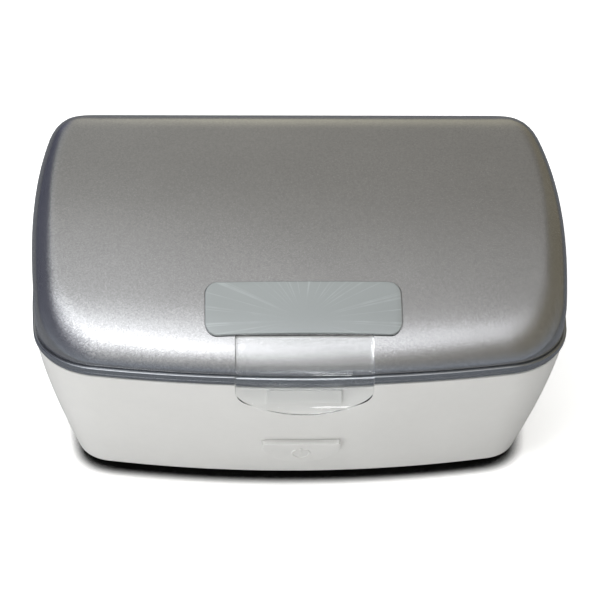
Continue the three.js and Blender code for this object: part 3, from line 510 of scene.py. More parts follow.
class Paint:
    """A Principled material whose colour, roughness and bump come from textures in object space."""

    def __init__(self, name, color, roughness, **settings):
        self.material = bpy.data.materials.new(name)
        self.material.use_nodes = True
        self.tree = self.material.node_tree
        self.shader = self.tree.nodes["Principled BSDF"]
        self.color, self.roughness = color, roughness
        self.shader.inputs["Base Color"].default_value = (*color, 1)
        self.shader.inputs["Roughness"].default_value = roughness
        for key, value in settings.items():
            self.shader.inputs[key.replace("_", " ")].default_value = value
        self.place = self.node("TexCoord").outputs["Object"]

    def node(self, kind, **settings):
        made = self.tree.nodes.new("ShaderNode" + kind)
        for key, value in settings.items():
            setattr(made, key, value)
        return made

    def link(self, output, socket):
        self.tree.links.new(output, socket)
        return output

    def feed(self, socket, value):
        """Links an output or sets a plain value."""
        if isinstance(value, bpy.types.NodeSocket):
            self.link(value, socket)
        else:
            socket.default_value = value

    def math(self, operation, *values):
        made = self.node("Math", operation=operation)
        for socket, value in zip(made.inputs, values):
            self.feed(socket, value)
        return made.outputs[0]

    def stretch(self, value, low, high, to_low, to_high):
        made = self.node("MapRange")
        for socket, entry in zip(made.inputs, (value, low, high, to_low, to_high)):
            self.feed(socket, entry)
        return made.outputs[0]

    def noise(self, size, detail=3, scale=(1, 1, 1), seed=0):
        """Noise with features of this size in millimetres."""
        mapping = self.node("Mapping")
        self.link(self.place, mapping.inputs["Vector"])
        mapping.inputs["Scale"].default_value = scale
        mapping.inputs["Location"].default_value = (seed, seed, seed)
        made = self.node("TexNoise")
        self.link(mapping.outputs[0], made.inputs["Vector"])
        made.inputs["Scale"].default_value = 1 / (size * MM)
        made.inputs["Detail"].default_value = detail
        return made.outputs["Fac"]

    def shade(self, *layers):
        """Multiplies the colour by (output, darkest, brightest) layers that run about 0.3 to 0.7."""
        color = self.shader.inputs["Base Color"]
        last = None
        for output, dark, bright in layers:
            factor = self.stretch(output, 0.3, 0.7, dark, bright)
            mix = self.node("Mix", data_type="RGBA", blend_type="MULTIPLY")
            mix.inputs["Factor"].default_value = 1
            self.feed(mix.inputs["A"], last if last else (*self.color, 1))
            self.link(factor, mix.inputs["B"])
            last = mix.outputs["Result"]
        self.link(last, color)
        return last

    def rough(self, output, spread):
        low, high = self.roughness - spread, self.roughness + spread
        self.link(self.stretch(output, 0.3, 0.7, low, high), self.shader.inputs["Roughness"])

    def bump(self, *layers):
        """Layers of (output, height in millimetres)."""
        normal = None
        for output, height in layers:
            made = self.node("Bump")
            made.inputs["Strength"].default_value = 1
            made.inputs["Distance"].default_value = height * MM
            self.link(output, made.inputs["Height"])
            if normal:
                self.link(normal, made.inputs["Normal"])
            normal = made.outputs["Normal"]
        self.link(normal, self.shader.inputs["Normal"])
        return normal

    def vectors(self, operation, *values, scale=None):
        made = self.node("VectorMath", operation=operation)
        for socket, value in zip(made.inputs, values):
            self.feed(socket, value)
        if scale is not None:
            made.inputs["Scale"].default_value = scale
        return made.outputs[0]

    def flake(self, size, tilt, spread):
        """Metal flakes: each cell has its own brightness and a normal tilted at random."""
        cells = self.node("TexVoronoi")
        self.link(self.place, cells.inputs["Vector"])
        cells.inputs["Scale"].default_value = 1 / (size * MM)
        color = cells.outputs["Color"]
        split = self.node("SeparateColor")
        self.link(color, split.inputs[0])
        lean = self.vectors("SCALE", self.vectors("SUBTRACT", color, (0.5, 0.5, 0.5)), scale=tilt)
        normal = self.vectors("ADD", self.node("NewGeometry").outputs["Normal"], lean)
        self.link(self.vectors("NORMALIZE", normal), self.shader.inputs["Normal"])
        return self.stretch(split.outputs[0], 0, 1, 0.5 - spread, 0.5 + spread)


def silver_paint(name, color, roughness, tilt, spread):
    paint = Paint(
        name, color, roughness, Metallic=0.92, Coat_Weight=0.8, Coat_Roughness=0.06, Coat_IOR=1.5
    )
    flakes = paint.flake(0.25, tilt, spread)
    paint.shade((flakes, 0.88, 1.11), (paint.noise(26, 2), 0.97, 1.03), (paint.noise(1.1, 2), 0.985, 1.015))
    paint.rough(paint.noise(9, 3), 0.012)
    return paint.material


def moulded(name, color, roughness, grain=0.4, height=0.004, mottling=0.015):
    """Moulded plastic: a fine etched grain, a faint large mottling and slightly uneven gloss."""
    paint = Paint(name, color, roughness)
    large = paint.noise(18, 3)
    paint.shade((large, 1 - mottling, 1 + mottling), (paint.noise(2.2, 2, seed=3), 0.994, 1.006))
    paint.rough(paint.noise(5, 3, seed=1), 0.03)
    paint.bump((paint.noise(grain, 2), height))
    return paint.material


def clear_plastic(name):
    """Clear polycarbonate that lets lamps through to what lies behind it."""
    paint = Paint(name, (0.985, 0.99, 0.99), 0.03, Transmission_Weight=1.0, IOR=1.5)
    paint.rough(paint.noise(7, 2), 0.012)
    paint.bump((paint.noise(9, 1), 0.01))
    see = paint.node("BsdfTransparent")
    see.inputs["Color"].default_value = (0.82, 0.83, 0.83, 1)
    path = paint.node("LightPath")
    mix = paint.node("MixShader")
    paint.link(path.outputs["Is Shadow Ray"], mix.inputs[0])
    paint.link(paint.shader.outputs[0], mix.inputs[1])
    paint.link(see.outputs[0], mix.inputs[2])
    paint.link(mix.outputs[0], paint.tree.nodes["Material Output"].inputs[0])
    return paint.material


def label_print(name):
    """A grey print with faint rays that spread from low on the plate, under a clear face."""
    paint = Paint(
        name, (0.375, 0.405, 0.408), 0.34, Metallic=0.25, Coat_Weight=1.0, Coat_Roughness=0.03, Coat_IOR=1.5
    )
    split = paint.node("SeparateXYZ")
    paint.link(paint.place, split.inputs[0])
    across = split.outputs[0]
    focus = (LABEL_LOW[1] * 0.78 + LABEL_HIGH[1] * 0.22) * MM
    along = paint.math("MULTIPLY", paint.math("SUBTRACT", split.outputs[1], focus), 1.35)
    angle = paint.math("ARCTAN2", along, across)
    squares = [paint.math("POWER", side, 2.0) for side in (across, along)]
    radius = paint.math("SQRT", paint.math("ADD", *squares))
    rays = None
    for count, phase, width in ((17, 0.3, 0.965), (29, 1.7, 0.975), (11, 2.9, 0.985)):
        wave = paint.math("COSINE", paint.math("MULTIPLY_ADD", angle, float(count), phase))
        line = paint.stretch(wave, width, 1.0, 0.0, 1.0)
        rays = line if rays is None else paint.math("MAXIMUM", rays, line)
    uneven = paint.stretch(paint.noise(7, 2), 0.35, 0.65, 0.15, 1.0)
    far = paint.stretch(radius, 0.004, 0.012, 0.0, 1.0)
    strength = paint.math("MULTIPLY", paint.math("MULTIPLY", rays, uneven), far)
    ground = paint.shade((paint.noise(30, 1), 0.97, 1.03), (paint.noise(0.5, 2), 0.99, 1.01))
    mix = paint.node("Mix", data_type="RGBA")
    paint.link(paint.math("MULTIPLY", strength, 0.32), mix.inputs["Factor"])
    paint.link(ground, mix.inputs["A"])
    mix.inputs["B"].default_value = (0.66, 0.72, 0.72, 1)
    paint.link(mix.outputs["Result"], paint.shader.inputs["Base Color"])
    paint.rough(paint.noise(4, 2), 0.02)
    return paint.material


def brushed(name, color, roughness, scale):
    """Metal with fine lines: scale stretches the noise across the brushing."""
    paint = Paint(name, color, roughness, Metallic=1.0)
    lines = paint.noise(1.2, 3, scale=scale)
    paint.shade((lines, 0.93, 1.05))
    paint.rough(lines, 0.05)
    paint.bump((lines, 0.002))
    return paint.material


def lamp_glass(name):
    paint = Paint(name, (0.93, 0.95, 0.98), 0.04, Transmission_Weight=0.85, IOR=1.46)
    paint.rough(paint.noise(3, 2), 0.02)
    return paint.material


def woven(name, color):
    """A breathable film with a fine fibre pattern."""
    paint = Paint(name, color, 0.85, Sheen_Weight=0.25)
    fibres = paint.noise(0.7, 5, scale=(1, 2.6, 1))
    paint.shade((fibres, 0.93, 1.03))
    paint.rough(fibres, 0.05)
    paint.bump((fibres, 0.05))
    return paint.material


FINISHES = {
    "silver_shell": silver_paint("silver_flake_paint", (0.56, 0.56, 0.565), 0.25, 0.05, 0.2),
    "rim_grey": silver_paint("rim_grey_paint", (0.50, 0.52, 0.55), 0.22, 0.05, 0.12),
    "white_shell": moulded("white_abs", (0.77, 0.77, 0.755), 0.38),
    "inner_white": moulded("inner_white_abs", (0.80, 0.80, 0.78), 0.45, grain=0.6, height=0.006),
    "clear_plastic": clear_plastic("clear_polycarbonate"),
    "label_print": label_print("label_print"),
    "foot_rubber": moulded(
        "black_rubber", (0.028, 0.028, 0.028), 0.75, grain=0.5, height=0.03, mottling=0.08
    ),
    "seal": moulded("grey_silicone", (0.16, 0.165, 0.17), 0.6, grain=0.5, height=0.01, mottling=0.04),
    "steel": brushed("plain_steel", (0.60, 0.61, 0.62), 0.28, (1, 14, 14)),
    "reflector": brushed("bright_aluminium", (0.82, 0.83, 0.84), 0.16, (14, 1, 1)),
    "lamp_glass": lamp_glass("lamp_glass"),
    "board_green": moulded("solder_mask", (0.012, 0.10, 0.042), 0.35, grain=1.2, height=0.01, mottling=0.12),
    "black_plastic": moulded(
        "black_plastic", (0.02, 0.02, 0.021), 0.42, grain=0.5, height=0.01, mottling=0.06
    ),
    "desiccant_grey": moulded(
        "desiccant_case_grey", (0.24, 0.25, 0.265), 0.5, grain=0.6, height=0.012, mottling=0.03
    ),
    "membrane": woven("breathable_film", (0.82, 0.80, 0.75)),
    "winding": brushed("varnished_winding", (0.62, 0.27, 0.09), 0.3, (1, 20, 1)),
}


def dress_cad_nodes():
    """Every CAD node gets its slot's finish; the ones that a fine piece stands for are hidden later."""
    for part in frame["record"]["subparts"]:
        mesh = frame["nodes"][part["node"]].data
        mesh.materials.clear()
        mesh.materials.append(FINISHES[part["material_slot"]])


# ---- lid ----


def hinge_notches():
    """Cutters that clear the lid's back edge for the base's knuckles."""
    y, z = (HINGE_Y - 3, HINGE_Y + 6), (RIM_Z - 3, HINGE_Z + 3)
    spans = [np.sort([x + s * NOTCH_NEAR, x + s * NOTCH_FAR]) for x in (-HINGE_X, HINGE_X) for s in (-1, 1)]
    return [brick("notch", span, y, z) for span in spans]


def label_outline(gap, corner_steps, side_steps):
    half, front, back = LABEL_HALF + gap, LABEL_FRONT - gap, LABEL_BACK + gap
    return rounded_rectangle(-half, half, front, back, LABEL_CORNER + gap, corner_steps, side_steps)


def lid_dome():
    dome = skin("dome_shell", dome_shell_rings(0, 0, DOME_WALL, DOME_BASE, 22, 44))
    outline = label_outline(LABEL_SEAT_GAP, 10, 40)
    seat = skin("seat", slab_rings(outline, on_dome, -LABEL_SEAT_DEPTH, 3, 0.02, 14, 1))
    carve(dome, [seat, *hinge_notches()])
    settle(dome, "lid", "silver_shell", "lid_dome")


def label_plate():
    plate = skin("label_face", slab_rings(label_outline(0, 12, 48), on_dome, -0.5, 0.55, 0.3, 16, 5))
    settle(plate, "lid", "label_print", "label_plate")


def rim_profile():
    """Section of the rim ring as (inset, z), from the inner wall over the top and down outside: a
    seat for the dome, a groove, a bright round edge, a face, a thin bead and a sloping lower band."""
    edge, low = RIM_EDGE, RIM_Z
    bead = edge - 1.5
    return [
        (RIM_RING, low),
        (RIM_RING, RIM_TOP),
        (3.15, RIM_TOP),
        (3.05, edge),
        (0.98, edge),
        (0.92, edge - 0.32),
        (0.7, edge - 0.32),
        (0.64, edge - 0.05),
        *fillet((0.34, edge - 0.34), 0.34, 100, 180, 5),
        (0, bead + 0.2),
        *fillet((0.1, bead + 0.2), 0.1, 180, 250, 3),
        (0.16, bead + 0.04),
        *fillet((0.17, bead - 0.06), 0.13, 120, 235, 4),
        (0.3, bead - 0.3),
        (0.48, low + 0.22),
        *fillet((0.7, low + 0.22), 0.22, 180, 270, 3),
    ]


def lid_rim():
    rings = [level(rim_outline(inset), z) for inset, z in rim_profile()]
    ring = skin("rim_band", rings, closed=True, smooth_angle=50)
    carve(ring, hinge_notches())
    settle(ring, "lid", "rim_grey", "lid_rim")


def lid_liner():
    drop = DOME_WALL * CROWN_WALL + LINER_GAP + 0.6
    liner = skin("liner_shell", dome_shell_rings(DOME_WALL + LINER_GAP, drop, LINER_WALL, DOME_FOOT, 12, 24))
    settle(liner, "lid", "inner_white", "lid_liner")


def lid_gasket():
    top = RIM_Z - GAP
    section = [
        *fillet((SEAL_OUTER + SEAL_R, top - 0.6), SEAL_R, 180, 270, 4),
        *fillet((SEAL_INNER - SEAL_R, top - 0.6), SEAL_R, 270, 360, 4),
        (SEAL_INNER, top),
        (SEAL_OUTER, top),
    ]
    seal = skin("lid_seal", [level(rim_outline(a), z) for a, z in section], closed=True)
    settle(seal, "lid", "seal", "lid_gasket")


def knuckle(name, x0, x1, web):
    """A barrel round the pin with a slightly rounded rim, and a web that ties it to its wall."""
    edge, bore = 0.3, PIN_BORE_R
    r = KNUCKLE_R - edge
    profile = [
        (bore, x0),
        *fillet((r, x0 + edge), edge, 270, 360, 3),
        *fillet((r, x1 - edge), edge, 0, 90, 3),
        (bore, x1),
    ]
    barrel = turned(name, profile, (0, HINGE_Y, HINGE_Z), "x", closed=True)
    arm = skin(name + "_web", [[(x, y, z) for y, z in web] for x in (x0, x1)])
    bore_cut = turned(name + "_bore", [(bore, x0 - 1), (bore, x1 + 1)], (0, HINGE_Y, HINGE_Z), "x")
    carve(arm, [bore_cut])
    soften(arm, 0.15, 2)
    return joined(name, [barrel, arm])


def lid_knuckles():
    half = LID_KNUCKLE / 2
    web = [
        (HINGE_Y - 3.6, HINGE_Z),
        (HINGE_Y + 1, HINGE_Z - 0.2),
        (HINGE_Y + 0.9, HINGE_Z + KNUCKLE_R * 0.9),
        (HINGE_Y - 3.6, RIM_TOP),
    ]
    pieces = [knuckle("lid_knuckle", x - half, x + half, web) for x in (-HINGE_X, HINGE_X)]
    settle(joined("lid_knuckles", pieces), "lid", "rim_grey", "lid_rim")


def base_knuckles():
    inner = LID_KNUCKLE / 2 + KNUCKLE_GAP
    web = [
        (52.6, 33),
        (HINGE_Y + KNUCKLE_R * 0.94, HINGE_Z - 0.9),
        (HINGE_Y, HINGE_Z + 0.4),
        (52.6, HINGE_Z - 2.4),
    ]
    pieces = []
    for x in (-HINGE_X, HINGE_X):
        for s in (-1, 1):
            x0, x1 = sorted((x + s * inner, x + s * (inner + BASE_KNUCKLE)))
            pieces.append(knuckle("base_knuckle", x0, x1, web))
    settle(joined("base_knuckles", pieces), "base", "white_shell", "base_shell")


def hinge_pins():
    for side in ("left", "right"):
        low, high = box_mm(f"hinge_pin_{side}")
        edge = 0.25
        r = PIN_R - edge
        profile = fillet((r, low[0] + edge), edge, -90, 0, 2) + fillet((r, high[0] - edge), edge, 0, 90, 2)
        pin = turned(f"pin_{side}", profile, (0, HINGE_Y, HINGE_Z), "x", 32)
        settle(pin, "base", "steel", f"hinge_pin_{side}")


# ---- latch ----


class LatchLine:
    """The tab's inner face in Y and Z, as a smooth line measured by its length."""

    def __init__(self):
        knots = np.array(
            [
                (-48.2, 52.5),
                (-50.8, 50.9),
                (-53.2, 49),
                (-55, 47),
                (LATCH_FACE, 44.6),
                (LATCH_FACE, 41.6),
                (LATCH_FACE, 39.7),
                (LATCH_FACE - 0.35, 37.5),
                (LATCH_FACE - 1.7, LATCH_LOW[2]),
            ]
        )
        padded = np.vstack([2 * knots[0] - knots[1], knots, 2 * knots[-1] - knots[-2]])
        points = []
        t = np.linspace(0, 1, 40, endpoint=False)[:, None]
        for a, b, c, d in zip(padded, padded[1:], padded[2:], padded[3:]):
            bend, twist = 2 * a - 5 * b + 4 * c - d, 3 * b - a - 3 * c + d
            points.append(0.5 * (2 * b + (c - a) * t + bend * t**2 + twist * t**3))
        self.points = np.vstack([*points, knots[-1:]])
        steps = np.linalg.norm(np.diff(self.points, axis=0), axis=1)
        self.length = np.concatenate([[0], np.cumsum(steps)])

    def at(self, s):
        return np.column_stack([np.interp(s, self.length, self.points[:, k]) for k in (0, 1)])

    def place(self, across, s, offset):
        """Points across the tab at distance s along its line, moved out by offset."""
        offset = offset - self.ridge(across, s) * (1 - offset / LATCH_T)
        here, ahead, behind = self.at(s), self.at(s + 0.4), self.at(s - 0.4)
        d = ahead - behind
        d /= np.linalg.norm(d, axis=1)[:, None]
        return np.column_stack([across, here[:, 0] + d[:, 1] * offset, here[:, 1] - d[:, 0] * offset])

    def ridge(self, across, s):
        """How far the hook stands in from the inner face: a rounded ridge that grips the catch."""
        ends = smoothstep((HOOK_HALF - np.abs(across)) / (2 * HOOK_R))
        return HOOK_DEPTH * ends * np.exp(-(((s - self.station(HOOK_Z)) / HOOK_R) ** 2))

    def station(self, z):
        """The distance along the line at which it passes a height."""
        return float(np.interp(-z, -self.points[:, 1], self.length))


def latch():
    """The clear tab is one moulding, made where the latch rests and tied to no body."""
    line = LatchLine()
    half = LATCH_HALF
    shoulder = line.station(LATCH_SHOULDER_Z)
    t = np.linspace(0, PI, 61)
    curve = np.column_stack([half * np.cos(t), shoulder + (line.length[-1] - shoulder) * np.sin(t)])
    up_left = np.column_stack([np.full(27, -half), np.linspace(shoulder, LATCH_CORNER, 27)])[1:]
    up_right = np.column_stack([np.full(27, half), np.linspace(LATCH_CORNER, shoulder, 27)])[:-1]
    top = np.column_stack([np.linspace(-half + LATCH_CORNER, half - LATCH_CORNER, 41), np.zeros(41)])
    outline = np.vstack([top, up_right, curve, up_left])
    tab = skin("latch_tab", slab_rings(outline, line.place, 0, LATCH_T, LATCH_EDGE, 44, 6))
    tab.data.materials.clear()
    tab.data.materials.append(FINISHES["clear_plastic"])
    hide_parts("latch_anchor", "latch")
    root, free = (line.place(np.zeros(1), np.array([s]), 1)[0] * MM for s in (0, 2 * LATCH_ANCHOR))
    tuple(root)
    tuple(free)
    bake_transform(tab)


# ---- base ----


def button_outline(grow, half, top, shoulder, bottom):
    """The button seen from the front: flat on top, round below, with small top corners."""
    r = 0.5
    half, top = half + grow, top + grow
    t = np.linspace(PI, 2 * PI, 49)
    below = np.column_stack([half * np.cos(t), shoulder + (shoulder - bottom + grow) * np.sin(t)])
    right = np.array(fillet((half - r, top - r), r, 0, 90, 5))
    left = np.array(fillet((-half + r, top - r), r, 90, 180, 5))
    straight = np.linspace(right[-1], left[0], 26)[1:-1]
    return np.vstack([below, right, straight, left])


def base_shell():
    low, high = FOOT_H + FOOT_EDGE, BASE_TOP - TOP_EDGE
    foot_edge = fillet((FOOT_EDGE, low), FOOT_EDGE, 270, 180, 5)[:-1]
    top_edge = fillet((TOP_EDGE, high), TOP_EDGE, 180, 90, 4)[1:]
    rings = [level(base_outline(FOOT_H, inset), z) for inset, z in foot_edge]
    rings += [level(base_outline(z, 0), z) for z in low + (high - low) * np.linspace(0, 1, 30)]
    rings += [level(base_outline(BASE_TOP, inset), z) for inset, z in top_edge]
    ledge = BASE_WALL - 0.2
    inside = [(BASE_TOP, ledge - 0.3), (BASE_TOP - 0.3, ledge), (LEDGE_Z, ledge), (LEDGE_Z, ledge + LEDGE_W)]
    inside += [(z, BASE_WALL) for z in (33, 26, 20, 14, 8)] + [(FOOT_H, BASE_WALL)]
    rings += [level(base_outline(z, inset), z) for z, inset in inside]
    shell = skin("base_body", rings, closed=True)

    a, b = button_outline(BUTTON_GAP, **BUTTON).T
    hole = skin("hole", [np.column_stack([a, np.full(len(a), y), b]) for y in (-40, -55)])
    bore = turned("bore", [(4, 38), (4, 50)], (SOCKET_X, 0, SOCKET_Z), "y")
    r, half = KNUCKLE_R + 0.4, LID_KNUCKLE / 2 + 0.4
    pin_line = (0, HINGE_Y, HINGE_Z)
    rooms = [turned("room", [(r, x - half), (r, x + half)], pin_line, "x") for x in (-HINGE_X, HINGE_X)]
    carve(shell, [hole, bore, *rooms])
    catch = soften(brick("catch_block", CATCH_X, CATCH_Y, CATCH_Z), 0.3, 3)
    settle(catch, "base", "white_shell", "base_shell")
    settle(shell, "base", "white_shell", "base_shell")


def power_button():
    top, bottom = BUTTON["top"], BUTTON["bottom"]

    def on_face(a, b, offset):
        """The face leans back towards its round edge; negative offsets go into the box."""
        y = BUTTON_TOP_Y + (BUTTON_BOTTOM_Y - BUTTON_TOP_Y) * (top - b) / (top - bottom)
        return np.column_stack([a, y - offset, b])

    outline = button_outline(0, **BUTTON)
    rings = slab_rings(outline, on_face, -1, 0, 0.35, 10, 5)
    front = rings[: len(rings) // 2 + 1]
    deep = front[-1].copy()
    deep[:, 1] = BUTTON_BACK_Y
    cap = skin("button_cap", [*front, deep])
    settle(cap, "button", "white_shell", "power_button")

    section = [(0.32 * math.cos(t), 0.3 * math.sin(t)) for t in np.linspace(0, 2 * PI, 12, endpoint=False)]

    def raised(name, path):
        rings = []
        for k, (a, b) in enumerate(path):
            nearby = path[min(k + 1, len(path) - 1)] - path[max(k - 1, 0)]
            u = nearby / np.linalg.norm(nearby)
            offsets = [(a - u[1] * w, b + u[0] * w, h) for w, h in section]
            rings.append(np.vstack([on_face(np.array([p]), np.array([q]), h) for p, q, h in offsets]))
        return skin(name, rings)

    t = np.radians(np.linspace(125, 415, 40))
    ring = raised("ring", np.column_stack([2.3 * np.cos(t), POWER_MARK_Z + 2.5 * np.sin(t)]))
    bar_z = np.linspace(POWER_MARK_Z + 0.5, POWER_MARK_Z + 3, 8)
    bar = raised("bar", np.column_stack([np.zeros(8), bar_z]))
    settle(joined("power_mark", [ring, bar]), "button", "white_shell", "power_button")


def feet():
    for i in range(1, 5):
        low, high = box_mm(f"foot_{i}")
        centre = (low + high) / 2
        r, edge, height, middle = 5, 0.6, 2, 0.01
        profile = [(middle, 0), (3.4, 0), *fillet((r - edge, edge), edge, 270, 360, 5), (r, height)]
        profile.append((middle, height))
        foot = turned(f"rubber_foot_{i}", profile, (centre[0], centre[1], 0), sides=40)
        settle(foot, "base", "foot_rubber", f"foot_{i}")


def dc_socket():
    x, mouth = SOCKET_X, SOCKET_HIGH[1]
    bore, collar, body, edge = 2.8, 3.6, 4.4, 0.3
    back, shoulder = mouth - 9, mouth - 5
    barrel = [
        (bore, back),
        *fillet((bore + edge, mouth - edge), edge, 180, 90, 3),
        *fillet((collar - edge, mouth - edge), edge, 90, 0, 3),
        (collar, shoulder),
        (body, shoulder),
        (body, back),
    ]
    housing = turned("inlet_barrel", barrel, (x, 0, SOCKET_Z), "y", 40, closed=True)
    settle(housing, "base", "black_plastic", "dc_socket")
    pin_profile = [(0.8, back), (1, back + 0.2), (1, mouth - 1.5), (0.9, mouth - 1.15), (0.55, mouth - 1)]
    pin = turned("inlet_pin", pin_profile, (x, 0, SOCKET_Z), "y", 24)
    settle(pin, "base", "steel", "dc_socket")
    block = soften(brick("inlet_body", (x - 4.5, x + 4.5), (30, back), (8.6, 18.4)), 0.4, 2)
    settle(block, "base", "black_plastic", "dc_socket")


def well_cups():
    """The two drying wells: thin cups with rounded floors that hang in the deck by their flanges."""
    flange, wall, floor_t, flange_t = 1.4, 1.5, 1.5, 0.9
    outer, inner = flange, flange + wall
    for side in ("left", "right"):
        low, high = box_mm(f"well_cup_{side}")
        top, under = high[2], low[2]
        floor_z, flange_z = under + floor_t, top - flange_t

        def ring(inset, z):
            x0, y0, x1, y1 = low[0] + inset, low[1] + inset, high[0] - inset, high[1] - inset
            return level(rounded_rectangle(x0, x1, y0, y1, max(8.9 - inset, 0.4), 10, 8), z)

        section = [
            (outer + 14, under),
            (outer + 4, under),
            *fillet((outer + 2, under + 2), 2, 270, 180, 4),
            (outer, flange_z),
            (0.15, flange_z),
            (0, flange_z + 0.15),
            *fillet((0.3, top - 0.3), 0.3, 180, 90, 3),
            *fillet((inner - 0.5, top - 0.5), 0.5, 90, 0, 3),
            (inner, top - 6),
            (inner, floor_z + 3.2),
            *fillet((inner + 2.5, floor_z + 2.5), 2.5, 180, 270, 5),
            (inner + 6, floor_z),
            (inner + 14, floor_z),
        ]
        cup = skin(f"cup_{side}", [ring(inset, z) for inset, z in section])
        settle(cup, "base", "inner_white", f"well_cup_{side}")


# ---- scene ----


def aim(obj, position, target):
    obj.location = Vector(position) * MM
    direction = Vector(target) * MM - obj.location
    obj.rotation_euler = direction.to_track_quat("-Z", "Y").to_euler()


def camera():
    """The view from a little left of the front, looking down, with the picture turned slightly."""
    azimuth, elevation, roll = (math.radians(a) for a in (-2.975, 36.716, 1.636))
    distance, target = 480, Vector((1.141, 0, 26.909 + FOOT_H))
    focal_pixels, frame_pixels = 1682.03, 600
    flat = math.cos(elevation)
    back = Vector((math.sin(azimuth) * flat, -math.cos(azimuth) * flat, math.sin(elevation)))
    right = Vector((math.cos(azimuth), math.sin(azimuth), 0))
    up = back.cross(right)
    data = bpy.data.cameras.new("camera")
    data.sensor_width = 36
    data.lens = focal_pixels / frame_pixels * data.sensor_width
    data.clip_start, data.clip_end = 0.02, 50
    view = new_object("camera", data)
    turn = Matrix((right, up, back)).transposed().to_4x4() @ Matrix.Rotation(roll, 4, "Z")
    view.matrix_world = Matrix.Translation((target + back * distance) * MM) @ turn
    bpy.context.scene.camera = view


def area_light(name, position, target, size, power, glossy=True, diffuse=True):
    data = bpy.data.lights.new(name, "AREA")
    data.shape = "RECTANGLE"
    data.size, data.size_y = (s * MM for s in size)
    data.energy = power
    lamp = new_object(name, data)
    aim(lamp, position, target)
    lamp.visible_glossy = glossy
    lamp.visible_diffuse = diffuse


def gloss_only(tree):
    """1 for light that a glossy skin mirrors, also through clear parts; 0 for the camera and matt light."""
    path = tree.nodes.new("ShaderNodeLightPath")
    mirrored, spread = (tree.nodes.new("ShaderNodeMath") for _ in range(2))
    mirrored.operation, mirrored.use_clamp = "MINIMUM", True
    tree.links.new(path.outputs["Glossy Depth"], mirrored.inputs[0])
    mirrored.inputs[1].default_value = 1
    spread.operation, spread.use_clamp = "SUBTRACT", True
    tree.links.new(mirrored.outputs[0], spread.inputs[0])
    tree.links.new(path.outputs["Diffuse Depth"], spread.inputs[1])
    return spread.outputs[0]


def world():
    """A soft room. Matt surfaces see it evenly pale; gloss sees a dim room with a broad bright patch
    high in front and to the left, and darker sides near the horizon."""
    made = bpy.data.worlds.new("room")
    bpy.context.scene.world = made
    made.use_nodes = True
    tree = made.node_tree
    nodes, link = tree.nodes, tree.links.new
    output = nodes["World Output"]
    pale = nodes["Background"]
    pale.inputs[0].default_value = (1, 1, 1, 1)
    pale.inputs[1].default_value = ROOM_LEVEL
    direction = nodes.new("ShaderNodeTexCoord").outputs["Generated"]
    split = nodes.new("ShaderNodeSeparateXYZ")
    link(direction, split.inputs[0])

    def spread(value, low, high):
        made = nodes.new("ShaderNodeMapRange")
        made.interpolation_type = "SMOOTHSTEP"
        link(value, made.inputs[0])
        made.inputs[1].default_value, made.inputs[2].default_value = low, high
        return made.outputs[0]

    def product(a, b):
        made = nodes.new("ShaderNodeMath")
        made.operation = "MULTIPLY"
        link(a, made.inputs[0])
        link(b, made.inputs[1])
        return made.outputs[0]

    def ramp(value, stops):
        made = nodes.new("ShaderNodeValToRGB")
        link(value, made.inputs[0])
        elements = made.color_ramp.elements
        while len(elements) < len(stops):
            elements.new(0.5)
        for element, (position, color) in zip(elements, stops):
            element.position, element.color = position, (*color, 1)
        return made.outputs[0]

    def mix(kind, factor, a, b):
        made = nodes.new("ShaderNodeMix")
        made.data_type, made.blend_type = "RGBA", kind
        made.clamp_factor = False
        for socket, value in ((made.inputs["Factor"], factor), (made.inputs["A"], a), (made.inputs["B"], b)):
            if isinstance(value, bpy.types.NodeSocket):
                link(value, socket)
            else:
                socket.default_value = value
        return made.outputs["Result"]

    across, height = split.outputs[0], split.outputs[2]
    sweep = spread(across, -1, 1)
    link(ramp(sweep, ROOM_PALE), pale.inputs[0])
    room = mix("MIX", spread(height, 0.02, 0.5), ramp(sweep, ROOM_HORIZON), ramp(sweep, ROOM_ABOVE))

    def patch(room, toward, wide, narrow, level):
        near = nodes.new("ShaderNodeVectorMath")
        near.operation = "DOT_PRODUCT"
        link(direction, near.inputs[0])
        near.inputs[1].default_value = Vector(toward).normalized()
        edges = (math.cos(math.radians(a)) for a in (wide, narrow))
        color = (level * 0.98, level, level * 1.05, 1)
        return mix("ADD", spread(near.outputs["Value"], *edges), room, color)

    room = patch(room, *GLOW)
    for edge, full, color in ROOM_WALLS:
        wall = product(spread(across, edge, full), spread(height, 0.95, 0.7))
        room = mix("MIX", wall, room, (*color, 1))
    low_front = product(spread(split.outputs[1], 0.3, -0.7), spread(height, 0.62, 0.1))
    room = mix("MIX", low_front, room, (*ROOM_FRONT, 1))
    for glow in PATCHES:
        room = patch(room, *glow)
    gloss = nodes.new("ShaderNodeBackground")
    link(room, gloss.inputs[0])
    either = nodes.new("ShaderNodeMixShader")
    link(gloss_only(tree), either.inputs[0])
    link(pale.outputs[0], either.inputs[1])
    link(gloss.outputs[0], either.inputs[2])
    link(either.outputs[0], output.inputs[0])


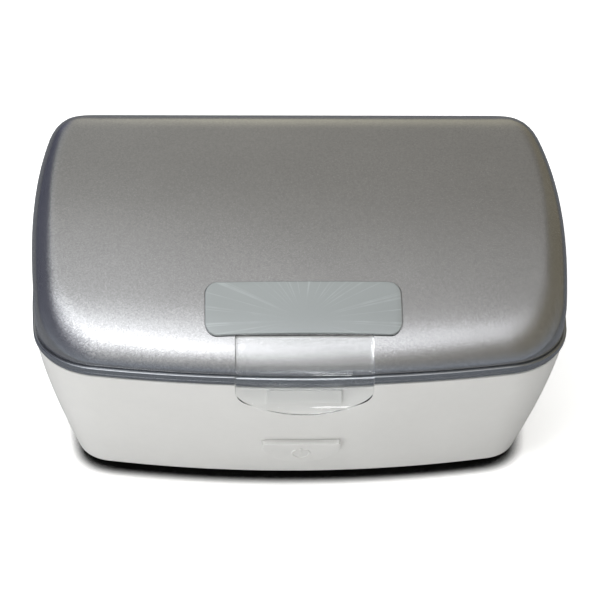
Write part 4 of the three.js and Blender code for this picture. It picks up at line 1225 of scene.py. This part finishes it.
def floor():
    """A pale matt table with a thin dark contact shadow, mostly in front of the box. Gloss sees the
    table darker."""
    reach = 2500
    corners = [(-reach, -reach), (reach, -reach), (reach, reach), (-reach, reach)]
    bm = bmesh.new()
    bm.faces.new([bm.verts.new((x * MM, y * MM, 0)) for x, y in corners])
    table = from_bmesh("table", bm)
    paint = Paint("pale_table", (0.93, 0.93, 0.925), 0.8, Specular_IOR_Level=0.1)
    ground = paint.shade((paint.noise(120, 2), 0.995, 1.005))
    near = paint.node("AmbientOcclusion", samples=16, only_local=False)
    near.inputs["Distance"].default_value = 5.2 * MM
    lean = paint.node("CombineXYZ")
    for socket, value in zip(lean.inputs, (0.0, 0.6, 0.8)):
        socket.default_value = value
    paint.link(lean.outputs[0], near.inputs["Normal"])
    shadow = paint.stretch(near.outputs["AO"], 0.45, 0.85, 0.0, 1.0)
    unseen = paint.math("SUBTRACT", 1.0, paint.node("LightPath").outputs["Is Camera Ray"])
    contact = paint.node("Mix", data_type="RGBA", blend_type="MULTIPLY")
    contact.inputs["Factor"].default_value = 1
    paint.link(ground, contact.inputs["A"])
    paint.link(paint.math("MAXIMUM", shadow, unseen), contact.inputs["B"])
    paint.link(contact.outputs["Result"], paint.shader.inputs["Base Color"])
    paint.link(contact.outputs["Result"], paint.shader.inputs["Emission Color"])
    glow = paint.math("MULTIPLY_ADD", unseen, TABLE_GLOW_UNSEEN - TABLE_GLOW, TABLE_GLOW)
    paint.link(glow, paint.shader.inputs["Emission Strength"])
    dim = paint.node("BsdfDiffuse")
    dim.inputs[0].default_value = (0.17, 0.18, 0.2, 1)
    mix = paint.node("MixShader")
    paint.link(gloss_only(paint.tree), mix.inputs[0])
    paint.link(paint.shader.outputs[0], mix.inputs[1])
    paint.link(dim.outputs[0], mix.inputs[2])
    paint.link(mix.outputs[0], paint.tree.nodes["Material Output"].inputs[0])
    table.data.materials.append(paint.material)


def lights():
    area_light("front_softbox", (-230, -560, 880), (0, -20, 40), (300, 160), 0.28)
    area_light("overhead", (-150, 250, 1100), (0, 0, 40), (900, 700), 5.4, glossy=False)
    area_light("high_front", (-380, -520, 960), (0, -40, 20), (240, 160), 3.4, glossy=False)
    area_light("left_fill", (-420, -400, 70), (0, -40, 20), (160, 90), 0.35, glossy=False)
    area_light("lip_glint", (50, -746, 130), (7, -58, 36), (26, 40), 0.036, diffuse=False)


bpy.context.scene.view_settings.view_transform = "Standard"
for make in (camera, world, floor, lights, dress_cad_nodes):
    make()
for make in (lid_dome, label_plate, lid_rim, lid_liner, lid_gasket, lid_knuckles, base_knuckles):
    make()
for make in (hinge_pins, latch, base_shell, power_button, feet, dc_socket, well_cups):
    make()
